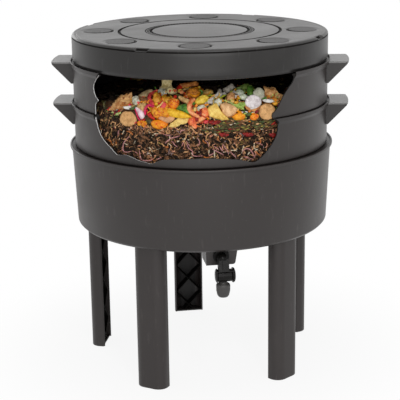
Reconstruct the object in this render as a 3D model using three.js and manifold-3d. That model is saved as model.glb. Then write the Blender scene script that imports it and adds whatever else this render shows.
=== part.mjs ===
// Round stacking wormery on five legs: a lid, two working trays and a collector with a tap.
// Millimetres, +Z up. The origin is on the ground, on the axis of the round stack.
// Angles are in degrees from the front (-Y) towards +X, seen from above.
import * as THREE from 'three';
import { mergeVertices } from 'three/addons/utils/BufferGeometryUtils.js';
import Module from 'manifold-3d';

const wasm = await Module();
wasm.setup();

// Facets
const bigRoundSides = 48;
const holeSides = 6;
const smallRoundSides = 16;
const cornerSteps = 3;
const overrun = 2;
const mergeTolerance = 1e-4;
const roundingShare = 0.3;

// Stack
const wall = 2.5;
const seatGap = 0.3;
const stackRadius = 255;
const trayTurn = -3.6;
const lidTurn = -2.5;
const baseTurn = 8.9;

// Collector
const collectorGround = 293;
const collectorHeight = 164;
const collectorWall = 3;
const collectorFloor = 4;
const collectorTopOverhang = 7;
const collectorTaper = 6.7;
const collectorFootRound = 5;
const collectorLipOverhang = 4;
const collectorLipHeight = 6.5;
const collectorLipThickness = 3.6;
const collectorSeatDepth = 3.5;
const lipRound = 1;

// Trays
const trayHeight = 86.8;
const trayLipOverhang = 5;
const trayLipThickness = 2;
const trayLipHeight = 7;
const traySeatDepth = 4.5;
const ledgeInset = 6;
const ledgeThickness = 2.5;
const neckInset = 7;
const neckDepth = 16;
const neckDraft = 1.5;
const shoulderChamfer = 1.2;
const floorHoleRadius = 5;
const floorRingCounts = [7, 14];
const floorRingShares = [0.35, 0.75];

// Handles, two on each tray
const handleLength = 42;
const handleHalfWidth = 46;
const handlePlate = 3;
const handleWeb = 3;
const handleDrop = 2.5;
const handleWebFoot = 43;
const handleTipHeight = 3.5;

// Display window, cut through the front walls of both trays
const windowHalfAngle = 52.5;
const windowTopAboveRim = 3;
const windowSill = 18;
const windowNeckCut = 12;
const windowAngleShares = [
  -0.80, -0.90, -0.99, -1.00, -0.975, -0.94, -0.98, -0.985, -0.965, -0.93, -0.865, -0.79, -0.73, -0.635,
  -0.525, -0.435, -0.385, -0.31, -0.15, -0.01, 0.17, 0.325, 0.41, 0.455, 0.535, 0.61, 0.645, 0.655,
  0.64, 0.60, 0.60, 0.64, 0.695, 0.75, 0.81, 0.83, 0.80, 0.62, 0.40, 0.18, -0.05, -0.30, -0.55,
];
const windowHeightShares = [
  1.00, 0.925, 0.84, 0.765, 0.69, 0.655, 0.60, 0.47, 0.36, 0.26, 0.175, 0.11, 0.05, 0.065,
  0.025, 0.00, 0.005, 0.05, 0.065, 0.075, 0.065, 0.035, 0.00, 0.005, 0.085, 0.20, 0.295, 0.39,
  0.445, 0.485, 0.53, 0.575, 0.69, 0.78, 0.865, 0.93, 1.00, 1.00, 1.00, 1.00, 1.00, 1.00, 1.00,
];

// Lid
const lidHeight = 53.7;
const lidTopWall = 3;
const lidEdgeRound = 5.5;
const lidStepWidth = 2.5;
const lidStepInset = 2.8;
const lidGrooveWidth = 3.2;
const lidGrooveDepth = 1.4;
const lidOuterGrooveShare = 0.6294;
const lidInnerGrooveShare = 0.3922;
const lidInnerGrooveWidth = 8;
const lidPadCount = 8;
const lidPadRadius = 28.5;
const lidPadPitchShare = 0.802;
const lidPadDepth = 1.3;
const lidPadSides = 16;
const lidNotchCount = 4;
const lidNotchWidth = 27;
const lidNotchDepth = 2.6;
const lidNotchReach = 7;

// Legs
const legCount = 5;
const legWidth = 63.3;
const legDepth = 27.5;
const legInset = 28.4;
const legCornerShare = 0.727;
const legWall = 3;
const legRib = 2.5;
const legRibBays = 5;
const legRibPitch = 63;
const legRibFirst = 14;
const legRibInset = 3;
const legFoot = 3;
const legPlugHeight = 26;
const legPlugClearance = 0.5;
const legPlugStraight = 1.5;

// Sump, the well under the collector that the tap screws into
const sumpInset = 30.3;
const sumpLength = 50;
const sumpFloorClearance = 0.4;
const sumpTopHalfWidth = 32;
const sumpBottomHalfWidth = 27;
const sumpCorner = 5;
const sumpWall = 3;

// Tap
const tapClearance = 0.3;
const tapStubRadius = 9.5;
const tapStubLength = 24;
const tapStubBore = 6.5;
const tapThreadClearance = 0.3;
const tapFlangeInset = 1;
const tapOuterWasherRadius = 16;
const tapWasherThickness = 1.4;
const tapInnerWasherRadius = 13.3;
const tapFlangeThickness = 4.6;
const tapNutInset = 0.3;
const tapNutSides = 6;
const tapNutThickness = 7;
const tapElbowRadius = 10;
const tapElbowReach = 8.4;
const tapNeckRun = 7;
const tapNeckDrop = 32;
const tapBarrelRim = 2;
const tapBarrelLeftShoulder = 1.2;
const tapBarrelRightShoulder = 7;
const tapPlugRadius = 8;
const tapPlugClearance = 0.3;
const tapPortRadius = 5.5;
const tapRingGroove = 1.8;
const tapRingGrooveDepth = 1.3;
const tapRingThickness = 1.3;
const tapRingInset = 2.2;
const spoutNeckRadius = 7.4;
const spoutNeckLength = 14;
const spoutShoulderRadius = 13.5;
const spoutShoulderHeight = 4.5;
const spoutTipRadius = 10.5;
const spoutLength = 42;
const leverCheekGap = 0.5;
const leverLeftCheek = 3.8;
const leverLeftRim = 1.5;
const leverRightCheek = 6;
const leverRightRim = 2.5;
const leverShellThickness = 3.4;
const leverShellStart = 38.5;
const leverNeckGap = 0.2;
const leverArmWidth = 20;
const leverArmStartShare = 0.63;
const leverArmEnd = 30;
const leverArmThickness = 3.2;
const leverArmGap = 0.7;
const leverRidgeStartShare = 0.945;
const leverRidgeWidth = 5;
const leverRidgeHeight = 2.6;

// Contents
const contentsGap = 0.4;
const heapRise = 44;
const heapEdge = 18;
const heapBack = 6;
const heapBankFromShare = 0.2;
const heapBankToShare = 0.6;
const heapRings = 8;
const heapSides = 36;
const heapLump = 2.5;
const heapLumpWaves = 7;
const windowFillInset = 4;

// Larger scraps on the front of the heap: form, place across the front as a share of the heap's
// radius, height over the tray's underside, size across, outwards and up, tilt, and colour
const scrapSides = 10;
const shellWall = 1.6;
const scrapInmostShare = 0.27;
const scrapSunkShare = 0.5;
const shellHollowShares = [2, 0.7];
const scraps = [
  ['eggshell_left', 'shell', -0.591, 33, 32, 18, 32, 20, 0x9a6a3a],
  ['potato_slice_left', 'disc', -0.539, 9, 30, 6, 30, 10, 0xc9b48a],
  ['red_peel', 'slab', -0.366, 43, 26, 8, 12, 25, 0x9c2a22],
  ['onion_wedge', 'lump', -0.451, 24, 26, 18, 22, 15, 0xd9b0b4],
  ['carrot_piece', 'slab', -0.302, 5, 24, 12, 13, -10, 0xc8641e],
  ['banana_peel', 'lump', -0.173, 22, 50, 16, 18, 8, 0xd2a83a],
  ['stalk', 'slab', -0.265, 62, 8, 8, 36, -35, 0x9a8436],
  ['bread_crust', 'slab', -0.093, 58, 38, 14, 10, -4, 0x7a3c22],
  ['tomato', 'lump', -0.016, 21, 30, 26, 34, 0, 0xb03a22],
  ['lemon_wedge', 'lump', 0.121, 22, 34, 18, 24, -15, 0xd9b032],
  ['eggshell_middle', 'shell', 0.229, 28, 30, 18, 30, -10, 0xcdb48c],
  ['leek_leaf', 'slab', 0.261, 49, 52, 5, 20, 12, 0x6f8434],
  ['cucumber_slice', 'disc', 0.382, 33, 31, 6, 31, -8, 0xe4e2c8],
  ['turnip_slice', 'disc', 0.442, 47, 24, 5, 22, 15, 0xd4dcb4],
  ['diced_carrot', 'slab', 0.338, 12, 24, 14, 14, 20, 0xc86a24],
  ['potato_slice_right', 'disc', 0.503, 18.5, 28, 6, 28, -12, 0xcbb488],
  ['eggshell_right', 'shell', 0.567, 40, 32, 18, 30, -20, 0xa8662e],
];

// Worms on the face of the compost: angle at the middle, height as a share of the compost's, span,
// rise and fall, number of bends
const wormRadius = 2;
const wormSides = 5;
const wormSteps = 14;
const wormSink = 1.2;
const wormTaperShare = 0.45;
const worms = [
  [-23, 0.665, 62, 7, 1.5],
  [-3, 0.5, 48, 6, 2],
  [12, 0.755, 56, 6, 1],
  [22, 0.4, 36, 5, 1.5],
];

const degrees = Math.PI / 180;

// Closed solids from three.js geometry, and back

function closedSolid(geometry) {
  const bare = geometry.clone();
  bare.deleteAttribute('normal');
  bare.deleteAttribute('uv');
  const merged = mergeVertices(bare.index ? bare.toNonIndexed() : bare, mergeTolerance);
  const places = merged.attributes.position.array;
  const corners = [];
  let volume = 0;
  for (let i = 0; i < merged.index.count; i += 3) {
    const [a, b, c] = [0, 1, 2].map((k) => merged.index.getX(i + k));
    if (a !== b && b !== c && c !== a) {
      corners.push(a, b, c);
      const [pa, pb, pc] = [a, b, c].map((k) => new THREE.Vector3().fromArray(places, k * 3));
      volume += pa.dot(pb.cross(pc));
    }
  }
  if (volume < 0) corners.reverse();
  return new wasm.Manifold(new wasm.Mesh({
    numProp: 3,
    vertProperties: new Float32Array(places),
    triVerts: new Uint32Array(corners),
  }));
}

function solidOfCorners(corners) {
  const geometry = new THREE.BufferGeometry();
  geometry.setAttribute('position', new THREE.Float32BufferAttribute(corners, 3));
  return closedSolid(geometry);
}

function meshOf(name, solid, colour, roughness, metalness = 0) {
  const data = solid.getMesh();
  const geometry = new THREE.BufferGeometry();
  geometry.setAttribute('position', new THREE.BufferAttribute(new Float32Array(data.vertProperties), 3));
  geometry.setIndex(new THREE.BufferAttribute(new Uint32Array(data.triVerts), 1));
  geometry.computeVertexNormals();
  const material = new THREE.MeshStandardMaterial({ color: colour, roughness, metalness });
  const mesh = new THREE.Mesh(geometry, material);
  mesh.name = name;
  return mesh;
}

function joined(solids) {
  return solids.reduce((whole, solid) => whole.add(solid));
}

// The one whole body left after deep cuts, without the crumbs between them
function mainBody(solid) {
  return solid.decompose().reduce((main, body) => (body.volume() > main.volume() ? body : main));
}

// A body of revolution about Z from [radius, height] points; a profile off the axis closes on itself
function turned(profile, sides) {
  const points = profile.map(([radius, height]) => new THREE.Vector2(radius, height));
  const first = points[0];
  const last = points[points.length - 1];
  if (first.x > 0 || last.x > 0) points.push(first.clone());
  const geometry = new THREE.LatheGeometry(points, sides);
  geometry.rotateX(Math.PI / 2);
  return closedSolid(geometry);
}

function extruded(shape, depth, place = (geometry) => geometry) {
  const options = { depth, bevelEnabled: false, curveSegments: cornerSteps };
  const geometry = new THREE.ExtrudeGeometry(shape, options);
  place(geometry);
  return closedSolid(geometry);
}

function box(low, high) {
  const size = high.map((value, k) => value - low[k]);
  const geometry = new THREE.BoxGeometry(...size);
  geometry.translate(...low.map((value, k) => value + size[k] / 2));
  return closedSolid(geometry);
}

// A round bar along X, from one x to another, about a line at y and z
function barAlongX(radius, from, to, y, z, sides = smallRoundSides) {
  const geometry = new THREE.CylinderGeometry(radius, radius, to - from, sides);
  geometry.rotateZ(Math.PI / 2);
  geometry.translate((from + to) / 2, y, z);
  return closedSolid(geometry);
}

function barAlongY(radius, from, to, x, z, sides = smallRoundSides, turn = 0) {
  const geometry = new THREE.CylinderGeometry(radius, radius, to - from, sides);
  geometry.rotateY(turn * degrees);
  geometry.translate(x, (from + to) / 2, z);
  return closedSolid(geometry);
}

function barAlongZ(radius, from, to, x, y, sides = smallRoundSides) {
  const geometry = new THREE.CylinderGeometry(radius, radius, to - from, sides);
  geometry.rotateX(Math.PI / 2);
  geometry.translate(x, y, (from + to) / 2);
  return closedSolid(geometry);
}

function turnedAbout(solid, angle) {
  return solid.rotate([0, 0, angle]);
}

function pointAt(angle, radius, height = 0) {
  return [radius * Math.sin(angle * degrees), -radius * Math.cos(angle * degrees), height];
}

// Radii that follow the stack's
const collectorTopRadius = stackRadius + collectorTopOverhang;
const collectorBaseRadius = collectorTopRadius - collectorTaper;
const collectorLipRadius = collectorTopRadius + collectorLipOverhang;
const trayLipRadius = stackRadius + trayLipOverhang;
const ledgeInnerRadius = stackRadius - ledgeInset;
const neckRadius = stackRadius - neckInset;
const windowReachIn = neckRadius - windowNeckCut;
const handleReach = stackRadius + handleLength;
const lidOuterGrooveRadius = stackRadius * lidOuterGrooveShare;
const lidInnerGrooveRadius = stackRadius * lidInnerGrooveShare;
const lidPadPitchRadius = stackRadius * lidPadPitchShare;
const legCentreRadius = collectorBaseRadius - legInset;
const sumpFaceRadius = collectorBaseRadius - sumpInset;
const tapDropFromBase = tapOuterWasherRadius + tapClearance;
const legCorner = legDepth * legCornerShare;
const tapFlangeRadius = tapOuterWasherRadius - tapFlangeInset;
const tapNutFlats = 2 * (tapInnerWasherRadius - tapNutInset);
const tapBarrelRadius = tapElbowRadius + tapBarrelRim;
const tapBarrelLeft = tapElbowRadius + tapBarrelLeftShoulder;
const tapBarrelRight = tapElbowRadius + tapBarrelRightShoulder;
const leverLeftRadius = tapBarrelRadius + leverLeftRim;
const leverRightRadius = tapBarrelRadius + leverRightRim;
const leverShellInner = tapBarrelRadius + leverCheekGap;
const leverArmLift = tapBarrelRadius + leverArmGap;
const leverArmStart = leverArmLift * leverArmStartShare;
const leverRidgeStart = leverArmLift * leverRidgeStartShare;
const neckLean = Math.atan2(tapNeckRun, tapNeckDrop);
const leverShellEnd = (neckLean + Math.acos((tapElbowRadius + leverNeckGap) / leverShellInner)) / degrees;
const sumpHeight = tapDropFromBase + tapInnerWasherRadius + sumpFloorClearance + sumpWall;

// Heights of the stack, from the ground up
const collectorRimTop = collectorGround + collectorHeight;
const collectorLedge = collectorRimTop - collectorSeatDepth;
const lowerTrayBottom = collectorLedge + seatGap;
const upperTrayBottom = lowerTrayBottom + trayHeight - traySeatDepth + seatGap;
const upperTrayRim = upperTrayBottom + trayHeight;
const lidBottom = upperTrayRim + seatGap;
const legTop = collectorGround - seatGap;
const tapHeight = collectorGround - tapDropFromBase;

// The window outline as [angle, height] points on the stack
function windowOutline(inset = 0) {
  const sillHeight = lowerTrayBottom + windowSill - neckDepth / 2;
  const topHeight = upperTrayRim + windowTopAboveRim;
  const insetAngle = inset / stackRadius / degrees;
  return windowAngleShares.map((share, k) => {
    const angle = (windowHalfAngle - insetAngle) * share;
    const height = sillHeight + inset + (topHeight - sillHeight - inset) * windowHeightShares[k];
    return [angle, height];
  });
}

// The radial block under the window outline, between two radii
function windowBlock(fromRadius, toRadius, low, high, inset = 0) {
  const outline = windowOutline(inset);
  const nearY = -fromRadius / 2;
  const farY = -toRadius * 2;
  const flat = outline.map(([angle, height]) => new THREE.Vector2(Math.tan(angle * degrees), height));
  const faces = THREE.ShapeUtils.triangulateShape(flat, []);
  const corners = [];
  const place = (k, y) => [-flat[k].x * y, y, flat[k].y];
  for (const [a, b, c] of faces) {
    corners.push(...place(a, nearY), ...place(b, nearY), ...place(c, nearY));
    corners.push(...place(a, farY), ...place(c, farY), ...place(b, farY));
  }
  flat.forEach((_, k) => {
    const next = (k + 1) % flat.length;
    corners.push(...place(k, nearY), ...place(k, farY), ...place(next, nearY));
    corners.push(...place(next, nearY), ...place(k, farY), ...place(next, farY));
  });
  const ring = [[fromRadius, low], [toRadius, low], [toRadius, high], [fromRadius, high]];
  return solidOfCorners(corners).intersect(turned(ring, bigRoundSides));
}

// Tray: rim with a seat for the piece above, straight wall, neck that nests below, holed floor

function handleSolid() {
  const top = trayHeight - handleDrop;
  const cornerReach = Math.sqrt(handleReach ** 2 - handleHalfWidth ** 2);
  const cornerAngle = Math.atan2(handleHalfWidth, cornerReach);
  const plan = new THREE.Shape();
  plan.moveTo(neckRadius - wall, -handleHalfWidth);
  plan.lineTo(cornerReach, -handleHalfWidth);
  plan.absarc(0, 0, handleReach, -cornerAngle, cornerAngle, false);
  plan.lineTo(neckRadius - wall, handleHalfWidth);
  const plate = extruded(plan, handlePlate, (g) => g.translate(0, 0, top - handlePlate));
  const side = new THREE.Shape();
  side.moveTo(neckRadius - wall, top - handlePlate / 2);
  side.lineTo(cornerReach, top - handlePlate / 2);
  side.lineTo(cornerReach, top - handleTipHeight);
  side.lineTo(stackRadius, top - handleWebFoot);
  side.lineTo(neckRadius - wall, top - handleWebFoot);
  const webs = [-handleHalfWidth, handleHalfWidth - handleWeb].map((y) => extruded(side, handleWeb, (g) => {
    g.rotateX(Math.PI / 2);
    g.translate(0, y + handleWeb, 0);
  }));
  const seatRadius = trayLipRadius - trayLipThickness / 2;
  const core = turned([
    [0, -overrun], [stackRadius - wall / 2, -overrun],
    [stackRadius - wall / 2, trayHeight - traySeatDepth - ledgeThickness],
    [seatRadius, trayHeight - traySeatDepth - ledgeThickness],
    [seatRadius, trayHeight + overrun], [0, trayHeight + overrun],
  ], bigRoundSides);
  return joined([plate, ...webs]).subtract(core);
}

function traySolid() {
  const rim = trayHeight;
  const lipInner = trayLipRadius - trayLipThickness;
  const wallInner = stackRadius - wall;
  const ledgeTop = rim - traySeatDepth;
  const floorUnder = -neckDepth;
  const floorTop = floorUnder + wall;
  const floorRadius = neckRadius - neckDraft;
  const profile = [
    [0, floorUnder],
    [floorRadius, floorUnder],
    [neckRadius, 0],
    [stackRadius - shoulderChamfer, 0],
    [stackRadius, shoulderChamfer],
    [stackRadius, rim - trayLipHeight - wall],
    [trayLipRadius, rim - trayLipHeight],
    [trayLipRadius, rim],
    [lipInner, rim],
    [lipInner, ledgeTop],
    [ledgeInnerRadius, ledgeTop],
    [ledgeInnerRadius, ledgeTop - ledgeThickness],
    [wallInner, ledgeTop - ledgeThickness - wall],
    [wallInner, wall * 2],
    [neckRadius - wall, wall],
    [floorRadius - wall, floorTop],
    [0, floorTop],
  ];
  const holes = [barAlongZ(floorHoleRadius, floorUnder - overrun, floorTop + overrun, 0, 0, holeSides)];
  floorRingCounts.forEach((count, ring) => {
    for (let k = 0; k < count; k += 1) {
      const [x, y] = pointAt((360 * (k + ring / 2)) / count, floorRadius * floorRingShares[ring]);
      holes.push(barAlongZ(floorHoleRadius, floorUnder - overrun, floorTop + overrun, x, y, holeSides));
    }
  });
  const handle = handleSolid();
  return joined([turned(profile, bigRoundSides), handle, turnedAbout(handle, 180)]).subtract(joined(holes));
}

// Collector: bucket with a rolled rim, five leg plugs and the sump with its tap hole

function legOutline(inset, depth) {
  const half = legWidth / 2 - inset;
  const outer = legDepth / 2 - inset;
  const corner = legCorner - inset;
  const outline = new THREE.Shape();
  outline.moveTo(-half, outer - depth);
  outline.lineTo(-half, outer - corner);
  outline.absarc(-half + corner, outer - corner, corner, Math.PI, Math.PI / 2, true);
  outline.absarc(half - corner, outer - corner, corner, Math.PI / 2, 0, true);
  outline.lineTo(half, outer - depth);
  return outline;
}

// Leg outlines have +Y outwards; this carries them to their place round the base
function placedAsLeg(solid, k) {
  const angle = 180 + (360 * k) / legCount;
  return turnedAbout(solid.rotate([0, 0, 180]).translate([0, -legCentreRadius, 0]), angle);
}

function sumpOutline(inset, top) {
  const outline = new THREE.Shape();
  const low = -sumpHeight + inset;
  const corner = sumpCorner - inset / 2;
  outline.moveTo(-sumpTopHalfWidth + inset, top);
  outline.lineTo(-sumpBottomHalfWidth + inset, low + corner);
  outline.quadraticCurveTo(-sumpBottomHalfWidth + inset, low, -sumpBottomHalfWidth + inset + corner, low);
  outline.lineTo(sumpBottomHalfWidth - inset - corner, low);
  outline.quadraticCurveTo(sumpBottomHalfWidth - inset, low, sumpBottomHalfWidth - inset, low + corner);
  outline.lineTo(sumpTopHalfWidth - inset, top);
  return outline;
}

function collectorSolid() {
  const rim = collectorHeight;
  const ledgeTop = rim - collectorSeatDepth;
  const lipInner = collectorLipRadius - collectorLipThickness;
  const profile = [
    [0, 0],
    [collectorBaseRadius - collectorFootRound, 0],
    [collectorBaseRadius - collectorFootRound * roundingShare, collectorFootRound * roundingShare],
    [collectorBaseRadius, collectorFootRound],
    [collectorTopRadius, rim - collectorLipHeight - collectorWall],
    [collectorTopRadius, rim - collectorLipHeight],
    [collectorLipRadius, rim - collectorLipHeight + lipRound],
    [collectorLipRadius, rim - lipRound],
    [collectorLipRadius - lipRound, rim],
    [lipInner, rim],
    [lipInner, ledgeTop],
    [ledgeInnerRadius, ledgeTop],
    [ledgeInnerRadius, ledgeTop - ledgeThickness],
    [collectorTopRadius - collectorWall, ledgeTop - ledgeThickness - collectorWall * 2],
    [collectorBaseRadius - collectorWall, collectorFloor + collectorFootRound],
    [collectorBaseRadius - collectorWall - collectorFootRound, collectorFloor],
    [0, collectorFloor],
  ];
  const plugInset = legWall + legPlugClearance;
  const plugDepth = legCorner - plugInset + legPlugStraight;
  const plug = extruded(legOutline(plugInset, plugDepth), legPlugHeight + wall, (g) => {
    g.translate(0, 0, -legPlugHeight);
  });
  const plugs = [];
  for (let k = 0; k < legCount; k += 1) plugs.push(placedAsLeg(plug, k));
  const standUp = (depth, from) => (g) => {
    g.rotateX(Math.PI / 2);
    g.translate(0, from + depth, 0);
  };
  const sump = extruded(sumpOutline(0, wall), sumpLength, standUp(sumpLength, -sumpFaceRadius));
  const wellLength = sumpLength - 2 * sumpWall;
  const wellOutline = sumpOutline(sumpWall, collectorFloor + overrun);
  const well = extruded(wellOutline, wellLength, standUp(wellLength, -sumpFaceRadius + sumpWall));
  const tapHole = barAlongY(
    tapStubRadius + tapThreadClearance, -sumpFaceRadius - overrun, -sumpFaceRadius + sumpWall + overrun,
    0, -tapDropFromBase,
  );
  return joined([turned(profile, bigRoundSides), sump, ...plugs]).subtract(well).subtract(tapHole);
}

// Leg: channel open towards the axis, closed by a foot plate, with crossed ribs inside

function legSolid() {
  const channel = extruded(legOutline(0, legDepth), legTop);
  const hollow = extruded(legOutline(legWall, legDepth), legTop + overrun, (g) => {
    g.translate(0, 0, legFoot);
  });
  const across = legWidth - legWall;
  const length = Math.hypot(across, legRibPitch);
  const lean = Math.atan2(legRibPitch, across);
  const ribFrom = -legDepth / 2 + legRibInset;
  const ribTo = legDepth / 2 - legWall / 2;
  const ribs = [];
  for (let k = 0; k < legRibBays; k += 1) {
    for (const side of [-1, 1]) {
      const geometry = new THREE.BoxGeometry(length, ribTo - ribFrom, legRib);
      geometry.rotateY(side * lean);
      geometry.translate(0, (ribFrom + ribTo) / 2, legRibFirst + legRibPitch * k);
      ribs.push(closedSolid(geometry));
    }
  }
  const ribRoom = legTop - legPlugHeight - legPlugClearance - legFoot / 2;
  const inside = extruded(legOutline(legWall / 2, legDepth - legRibInset), ribRoom, (g) => {
    g.translate(0, 0, legFoot / 2);
  });
  return joined([channel.subtract(hollow), joined(ribs).intersect(inside)]);
}

// Lid: domed edge, straight skirt with a step that drops into the rim seat, pads and ring grooves on top

function lidSolid() {
  const top = lidHeight;
  const under = top - lidTopWall;
  const inner = stackRadius - wall;
  const stepOuter = stackRadius - lidStepInset;
  const stepInner = stepOuter - lidStepWidth;
  const stepBottom = -traySeatDepth + seatGap / 2;
  const groove = (radius, width) => [
    [radius + width / 2, top],
    [radius + width / 2 - lidGrooveDepth / 2, top - lidGrooveDepth],
    [radius - width / 2 + lidGrooveDepth / 2, top - lidGrooveDepth],
    [radius - width / 2, top],
  ];
  const profile = [
    [stepOuter, stepBottom],
    [stepOuter, 0],
    [stackRadius, 0],
    [stackRadius, top - lidEdgeRound],
    [stackRadius - lidEdgeRound * roundingShare, top - lidEdgeRound * roundingShare],
    [stackRadius - lidEdgeRound, top],
    ...groove(lidOuterGrooveRadius, lidGrooveWidth),
    ...groove(lidInnerGrooveRadius, lidInnerGrooveWidth),
    [0, top],
    [0, under],
    [inner - lidEdgeRound, under],
    [inner, under - lidEdgeRound],
    [inner, wall * 2],
    [stepInner, wall],
    [stepInner, stepBottom],
  ];
  const solid = turned(profile, bigRoundSides);
  const cuts = [];
  for (let k = 0; k < lidPadCount; k += 1) {
    const [x, y] = pointAt((360 * k) / lidPadCount, lidPadPitchRadius);
    cuts.push(barAlongZ(lidPadRadius, top - lidPadDepth, top + overrun, x, y, lidPadSides));
  }
  for (let k = 0; k < lidNotchCount; k += 1) {
    const notch = box(
      [-lidNotchWidth / 2, -stackRadius - overrun, top - lidNotchDepth],
      [lidNotchWidth / 2, -stackRadius + lidNotchReach, top + overrun],
    );
    cuts.push(turnedAbout(notch, -180 / lidPadCount + (360 * k) / lidNotchCount));
  }
  return solid.subtract(joined(cuts));
}

// Tap, drawn with its inlet pointing out of the sump along -Y

const washerOuterY = -sumpFaceRadius - seatGap;
const flangeY = washerOuterY - tapWasherThickness - seatGap;
const elbowY = flangeY - tapFlangeThickness;
const cornerY = elbowY - tapElbowReach;
const barrelY = cornerY - tapNeckRun;
const barrelZ = tapHeight - tapNeckDrop;
const washerInnerY = -sumpFaceRadius + sumpWall + seatGap;
const nutY = washerInnerY + tapWasherThickness + seatGap;

// Round way out of the flange, round the corner and down the leaning neck to the barrel
function alongElbow(radius) {
  const out = barAlongY(radius, cornerY, elbowY + tapFlangeThickness / 2, 0, tapHeight);
  const ball = new THREE.SphereGeometry(radius, smallRoundSides, smallRoundSides / 2);
  ball.rotateX(Math.PI / 2);
  ball.translate(0, cornerY, tapHeight);
  const length = Math.hypot(tapNeckRun, tapNeckDrop);
  const neck = new THREE.CylinderGeometry(radius, radius, length, smallRoundSides);
  neck.translate(0, -length / 2, 0);
  neck.rotateX(Math.PI / 2 - neckLean);
  neck.translate(0, cornerY, tapHeight);
  return joined([out, closedSolid(ball), closedSolid(neck)]);
}

function tapBodySolid() {
  const stub = barAlongY(tapStubRadius, elbowY, -sumpFaceRadius + tapStubLength, 0, tapHeight);
  const flange = barAlongY(tapFlangeRadius, elbowY, flangeY, 0, tapHeight);
  const barrel = barAlongX(tapBarrelRadius, -tapBarrelLeft, tapBarrelRight, barrelY, barrelZ);
  const spout = turned([
    [0, 0], [spoutNeckRadius, 0], [spoutNeckRadius, -spoutNeckLength],
    [spoutShoulderRadius, -spoutNeckLength - spoutShoulderHeight],
    [spoutTipRadius, -spoutLength], [0, -spoutLength],
  ], smallRoundSides).translate([0, barrelY, barrelZ]);
  const spoutBore = turned([
    [0, -tapBarrelRadius / 2], [tapPortRadius, -tapBarrelRadius / 2], [tapPortRadius, -spoutNeckLength],
    [spoutTipRadius - wall, -spoutLength - overrun], [0, -spoutLength - overrun],
  ], smallRoundSides).translate([0, barrelY, barrelZ]);
  const inlet = barAlongY(tapStubBore, elbowY, -sumpFaceRadius + tapStubLength + overrun, 0, tapHeight);
  const bore = barAlongX(
    tapPlugRadius + tapPlugClearance, -tapBarrelLeft - overrun, tapBarrelRight + overrun, barrelY, barrelZ,
  );
  return joined([stub, flange, alongElbow(tapElbowRadius), barrel, spout])
    .subtract(joined([inlet, alongElbow(tapPortRadius), bore, spoutBore]));
}

const cheekLeft = -tapBarrelLeft - leverCheekGap;
const cheekRight = tapBarrelRight + leverCheekGap;

function plugSolid() {
  const ringMiddle = [-tapBarrelLeft + tapRingInset, tapBarrelRight - tapRingInset];
  const grooveRadius = tapPlugRadius - tapRingGrooveDepth;
  const groove = (x) => [
    [tapPlugRadius, x - tapRingGroove / 2], [grooveRadius, x - tapRingGroove / 2],
    [grooveRadius, x + tapRingGroove / 2], [tapPlugRadius, x + tapRingGroove / 2],
  ];
  const left = cheekLeft + leverCheekGap / 2;
  const right = cheekRight - leverCheekGap / 2;
  const ends = [[[0, left], [tapPlugRadius, left]], [[tapPlugRadius, right], [0, right]]];
  const profile = [...ends[0], ...ringMiddle.flatMap(groove), ...ends[1]];
  const plug = turned(profile, smallRoundSides).rotate([0, 90, 0]).translate([0, barrelY, barrelZ]);
  const [near, far] = [barrelY - tapBarrelRadius, barrelY + tapBarrelRadius];
  const port = barAlongY(tapPortRadius, near, far, 0, barrelZ, holeSides * 2);
  return plug.subtract(port);
}

function plugRing(x) {
  const inner = tapPlugRadius - tapRingGrooveDepth + seatGap / 2;
  const half = tapRingThickness / 2;
  const outer = inner + tapRingThickness - seatGap / 2;
  const middle = (inner + outer) / 2;
  const lower = [[inner, -half / 2], [middle, -half], [outer, -half / 2]];
  const profile = [...lower, [outer, half / 2], [middle, half], [inner, half / 2]];
  return turned(profile, smallRoundSides).rotate([0, 90, 0]).translate([x, barrelY, barrelZ]);
}

function leverSolid() {
  const left = barAlongX(leverLeftRadius, cheekLeft - leverLeftCheek, cheekLeft, barrelY, barrelZ);
  const right = barAlongX(leverRightRadius, cheekRight, cheekRight + leverRightCheek, barrelY, barrelZ);
  const from = cheekLeft - leverLeftCheek / 2;
  const to = cheekRight + leverRightCheek / 2;
  const arc = new THREE.Shape();
  const outer = leverShellInner + leverShellThickness;
  arc.absarc(0, 0, outer, leverShellStart * degrees, leverShellEnd * degrees, false);
  arc.absarc(0, 0, leverShellInner, leverShellEnd * degrees, leverShellStart * degrees, true);
  const standAcross = (width, x) => (g) => {
    g.rotateY(-Math.PI / 2);
    g.rotateX(Math.PI / 2);
    g.translate(x + width, barrelY, barrelZ);
  };
  const shell = extruded(arc, to - from, standAcross(to - from, from));
  const slab = (width, start, lift, thickness) => {
    const geometry = new THREE.BoxGeometry(width, leverArmEnd - start, thickness);
    geometry.translate(0, (leverArmEnd + start) / 2, lift + thickness / 2);
    geometry.rotateX(Math.PI / 2 - neckLean);
    geometry.translate(0, barrelY, barrelZ);
    return closedSolid(geometry);
  };
  const arm = slab(leverArmWidth, leverArmStart, leverArmLift, leverArmThickness);
  const half = leverArmThickness / 2;
  const ridge = slab(leverRidgeWidth, leverRidgeStart, leverArmLift + half, leverRidgeHeight + half);
  return joined([left, right, shell, arm, ridge]);
}

function washerSolid(radius, from, to) {
  const inner = tapStubRadius + tapThreadClearance;
  return barAlongY(radius, from, to, 0, tapHeight)
    .subtract(barAlongY(inner, from - overrun, to + overrun, 0, tapHeight));
}

function nutSolid() {
  const corner = tapNutFlats / 2 / Math.cos(Math.PI / tapNutSides);
  const turn = 180 / tapNutSides;
  const hole = tapStubRadius + tapThreadClearance;
  return barAlongY(corner, nutY, nutY + tapNutThickness, 0, tapHeight, tapNutSides, turn)
    .subtract(barAlongY(hole, nutY - overrun, nutY + tapNutThickness + overrun, 0, tapHeight));
}

// Contents: compost in the lower tray, a half-rotted layer and a heap of fresh scraps in the upper one

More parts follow.
